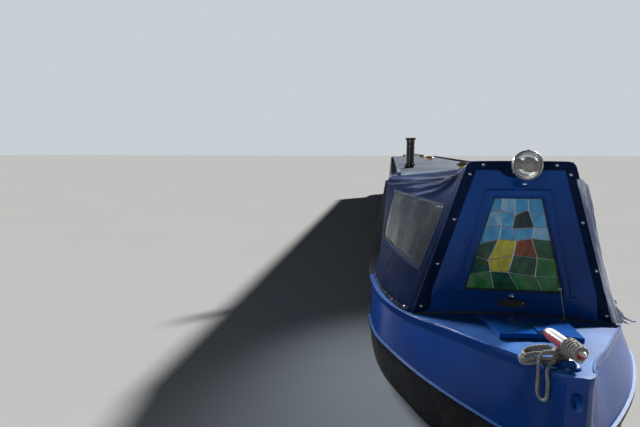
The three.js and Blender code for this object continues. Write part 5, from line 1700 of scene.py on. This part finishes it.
def make_looks():
    """Every look by its short name, under the slot that goes with it"""
    by_slot = {
        "hull_blue": {
            "royal": gloss_paint("royal_blue_gloss", (0.004, 0.07, 0.32), (0.002, 0.034, 0.17)),
            "hull": bow_paint("bow_paint"),
            "neck": banded_paint("tiller_banded_paint", [(1.32, 1.42), (1.60, 1.70), (1.88, 1.97)],
                                 (0.42, 0.41, 0.385), (0.42, 0.02, 0.02)),
        },
        "hull_black": {
            "black": hull_paint("hull_black_paint"),
            "rubber": rubber("black_rubber"),
            "chimney": gloss_paint("chimney_black", (0.03, 0.026, 0.026), (0.009, 0.008, 0.008), 0.3, 0.6),
        },
        "cabin_blue": {
            "cabin": gloss_paint("cabin_blue_gloss", *CABIN_BLUES),
            "cabin_side": coach_paint("cabin_side_paint", *CABIN_BLUES, (0.62, 0.56, 0.4)),
        },
        "roof_paint": {"roof": grit_paint("roof_grit_paint", (0.13, 0.16, 0.21), (0.075, 0.095, 0.14))},
        "deck_grey": {"deck": grit_paint("deck_grit_paint", (0.2, 0.21, 0.22), (0.12, 0.13, 0.14))},
        "engine_grey": {
            "engine": gloss_paint("engine_green", (0.03, 0.12, 0.06), (0.012, 0.05, 0.025), 0.4),
        },
        "floor_wood": {
            "floor": timber("cabin_floor_boards", (0.42, 0.26, 0.13), (0.2, 0.11, 0.05)),
            "plank": timber("ridge_plank_timber", (0.36, 0.22, 0.11), (0.17, 0.09, 0.04)),
        },
        "canvas_navy": {
            "canvas": canvas_cloth("navy_canvas"),
            "binding": webbing("navy_binding", (0.008, 0.013, 0.042), (0.004, 0.007, 0.024)),
            "thread": webbing("sewing_thread", (0.16, 0.18, 0.26), (0.08, 0.09, 0.15)),
            "lining_glare": glare_lining_cloth("pale_lining_glare"),
            "webbing": webbing("dark_webbing", (0.05, 0.052, 0.07), (0.022, 0.024, 0.036)),
        },
        "clear_vinyl": {"vinyl": vinyl_sheet("clear_vinyl")},
        "rope_fibre": {
            "rope": rope_fibre("bow_line_fibre", (0.36, 0.355, 0.31), (0.055, 0.062, 0.058)),
            "twine": rope_fibre("whipping_twine", (0.6, 0.55, 0.42), (0.3, 0.26, 0.18)),
            "fender": rope_fibre("fender_fibre", (0.13, 0.105, 0.068), (0.04, 0.032, 0.02)),
        },
        "chrome": {
            "chrome": metal("polished_chrome", (0.6, 0.61, 0.63), (0.3, 0.31, 0.32), 0.1, 0.6),
            "bezel": metal("weathered_bezel", (0.34, 0.35, 0.37), (0.13, 0.135, 0.14), 0.2, 0.7),
            "reflector": metal("silvered_reflector", (0.92, 0.92, 0.9), (0.7, 0.7, 0.68), 0.04, 0.2),
            "lead": metal("leaded_came", (0.5, 0.52, 0.55), (0.2, 0.21, 0.22), 0.35, 0.6),
            "lamp_blue": gloss_paint("lamp_blue_enamel", (0.008, 0.016, 0.09), (0.004, 0.008, 0.04), 0.16),
        },
        "brass": {
            "brass": metal("polished_brass", *BRASS, 0.16, 0.6),
            "tiller": tiller_look("tiller_brass_and_wood"),
        },
        "bronze": {
            "bronze": metal("dull_bronze", (0.5, 0.32, 0.14), (0.2, 0.14, 0.07), 0.3, 0.8),
            "copper": metal("smoked_copper", (0.24, 0.105, 0.08), (0.09, 0.05, 0.043), 0.26, 0.8),
        },
        "stud_paint": {"stud": stud_paint("stud_red_and_white", (0.62, 0.62, 0.62), (0.36, 0.03, 0.03))},
        "window_glass": {
            "cabin_glass": clear_sheet("cabin_window_glass", (0.5, 0.56, 0.58), 0.02, 0.06, 0.85, 1.45),
            "lens": clear_sheet("lamp_lens_glass", (0.95, 0.96, 0.97), 0.0, 0.05, 1.0, 1.5),
            "bulb": glow_glass("bulb_glass", (0.85, 0.82, 0.74)),
            **{name: art_glass(name, *colours) for name, colours in GLASS_COLOURS.items()},
        },
    }
    for slot, group in by_slot.items():
        LOOKS.update(group)
        dict.fromkeys(group, slot)


# The finish of each CAD node that stays in sight
FINISHES = {
    "royal": "cratch_board locker_lid stem_eye lamp_bracket",
    "hull": "bow side_starboard side_port",
    "black": "baseplate swim uxter_plate counter skeg rudder",
    "cabin": "front_bulkhead rear_bulkhead front_door_starboard front_door_port rear_door_starboard"
             " rear_door_port",
    "cabin_side": "cabin_side_starboard cabin_side_port",
    "roof": "roof slide_hatch",
    "deck": "well_floor",
    "floor": "cabin_floor",
    "plank": "cratch_plank",
    "cabin_glass": " ".join(f"window_{side}_{k}" for side in SIDES for k in range(1, 5)),
    "chimney": "chimney",
    "brass": "roof_vent_1 roof_vent_2 roof_vent_3",
    "bronze": "stern_tube",
    "engine": "engine_block",
    "neck": "tiller_neck",
    "tiller": "tiller_bar",
}
# How far a node's edges are eased, in metres
EASING = {"locker_lid": 0.004, "roof": 0.002, "baseplate": 0.002,
          **dict.fromkeys(["cratch_board", "stem_eye", "bow", "side_starboard", "side_port", "slide_hatch",
                           "counter"], 0.003)}


def dress(node, look):
    """A CAD node keeps its shape and gets its finish, soft shading and eased edges"""
    made = NODES[node]
    data = made.data
    for name in ("custom_normal", "sharp_edge", "sharp_face"):
        if name in data.attributes:
            data.attributes.remove(data.attributes[name])
    data.materials.clear()
    data.materials.append(LOOKS[look])
    data.shade_smooth()
    made.modifiers.new("weld", "WELD").merge_threshold = WELD_GAP
    bevelled(made, EASING.get(node, 0.0008), 30)


def dress_all():
    for look, nodes in FINISHES.items():
        for node in nodes.split():
            dress(node, look)


# Stage: pale floor at the waterline, pale surroundings, soft lights

FLOOR_REACH = 120
# Each lamp: kind, place, what it aims at, energy, colour and other settings
LIGHTS = {
    "sun": ("SUN", (-4.6, 12.2, 11.3), (7.6, 0, 1.3), 10.5, (1, 0.95, 0.88), {"angle": math.radians(4)}),
    "side_light": ("AREA", (4.6, -2.5, 3.6), (6.9, -0.75, 2.0), 30, (0.85, 0.92, 1),
                   {"shape": "RECTANGLE", "size": 1.0, "size_y": 0.5, "spread": math.radians(60)}),
    "fill": ("AREA", (14.5, -5.5, 3.6), (7.6, 0, 1.5), 110, (0.93, 0.96, 1),
             {"shape": "RECTANGLE", "size": 6, "size_y": 4}),
}


def make_floor():
    p = Paint("stage_floor")
    p.finish(Base_Color=p.mix(p.noise(0.6, 3, 0.5), (0.29, 0.305, 0.32), (0.32, 0.33, 0.345)), Roughness=1.0,
             Specular_IOR_Level=0.0)
    data = bpy.data.meshes.new("stage_floor")
    corners = ((-1, -1), (1, -1), (1, 1), (-1, 1))
    data.from_pydata([(FLOOR_REACH * x, FLOOR_REACH * y, WATERLINE) for x, y in corners], [], [(0, 1, 2, 3)])
    data.materials.append(p.mat)
    link("stage_floor", data)


def make_sky():
    """Light that grows from dark below to pale above, and an even backdrop for the camera"""
    world = bpy.data.worlds.new("studio")
    bpy.context.scene.world = world
    world.use_nodes = True
    n = Nodes(world.node_tree)
    height = n.split(n.coordinates("Generated"))[2]
    share = n.node("ShaderNodeMapRange", {0: height, 2: 0.55, 3: 1.05, 4: 0.2}).outputs[0]
    back, out = (n.tree.nodes[name] for name in ("Background", "World Output"))
    n.fill(back, {0: n.mix(share, (0, 0, 0), (0.8, 0.88, 1.0)), 1: 0.3})
    seen = n.node("ShaderNodeBackground", {0: (0.8, 0.86, 0.92, 1), 1: 0.72})
    camera_ray = n.node("ShaderNodeLightPath", {}).outputs["Is Camera Ray"]
    either = n.node("ShaderNodeMixShader", {0: camera_ray, 1: back.outputs[0], 2: seen.outputs[0]})
    n.fill(out, {0: either.outputs[0]})
    bpy.context.scene.view_settings.view_transform = "Standard"


def make_lights():
    for name, (kind, place, aim, energy, colour, settings) in LIGHTS.items():
        light = bpy.data.lights.new(name, kind)
        light.energy = energy
        light.color = colour
        for key, value in settings.items():
            setattr(light, key, value)
        made = link(name, light)
        made.location = place
        made.rotation_euler = aimed(Vector(aim) - Vector(place))


def write_size():
    bpy.context.view_layer.update()


make_camera()
make_looks()
make_stud()
make_rope()
make_cover()
make_cover_fittings()
make_side_glare_lining()
make_pull_cord()
make_board_window()
make_board_trims()
make_board_details()
make_lamp()
make_foredeck()
make_cabin_windows()
make_doors()
make_roof_fittings()
make_fender()
make_propeller()
dress_all()
make_floor()
make_sky()
make_lights()
write_size()
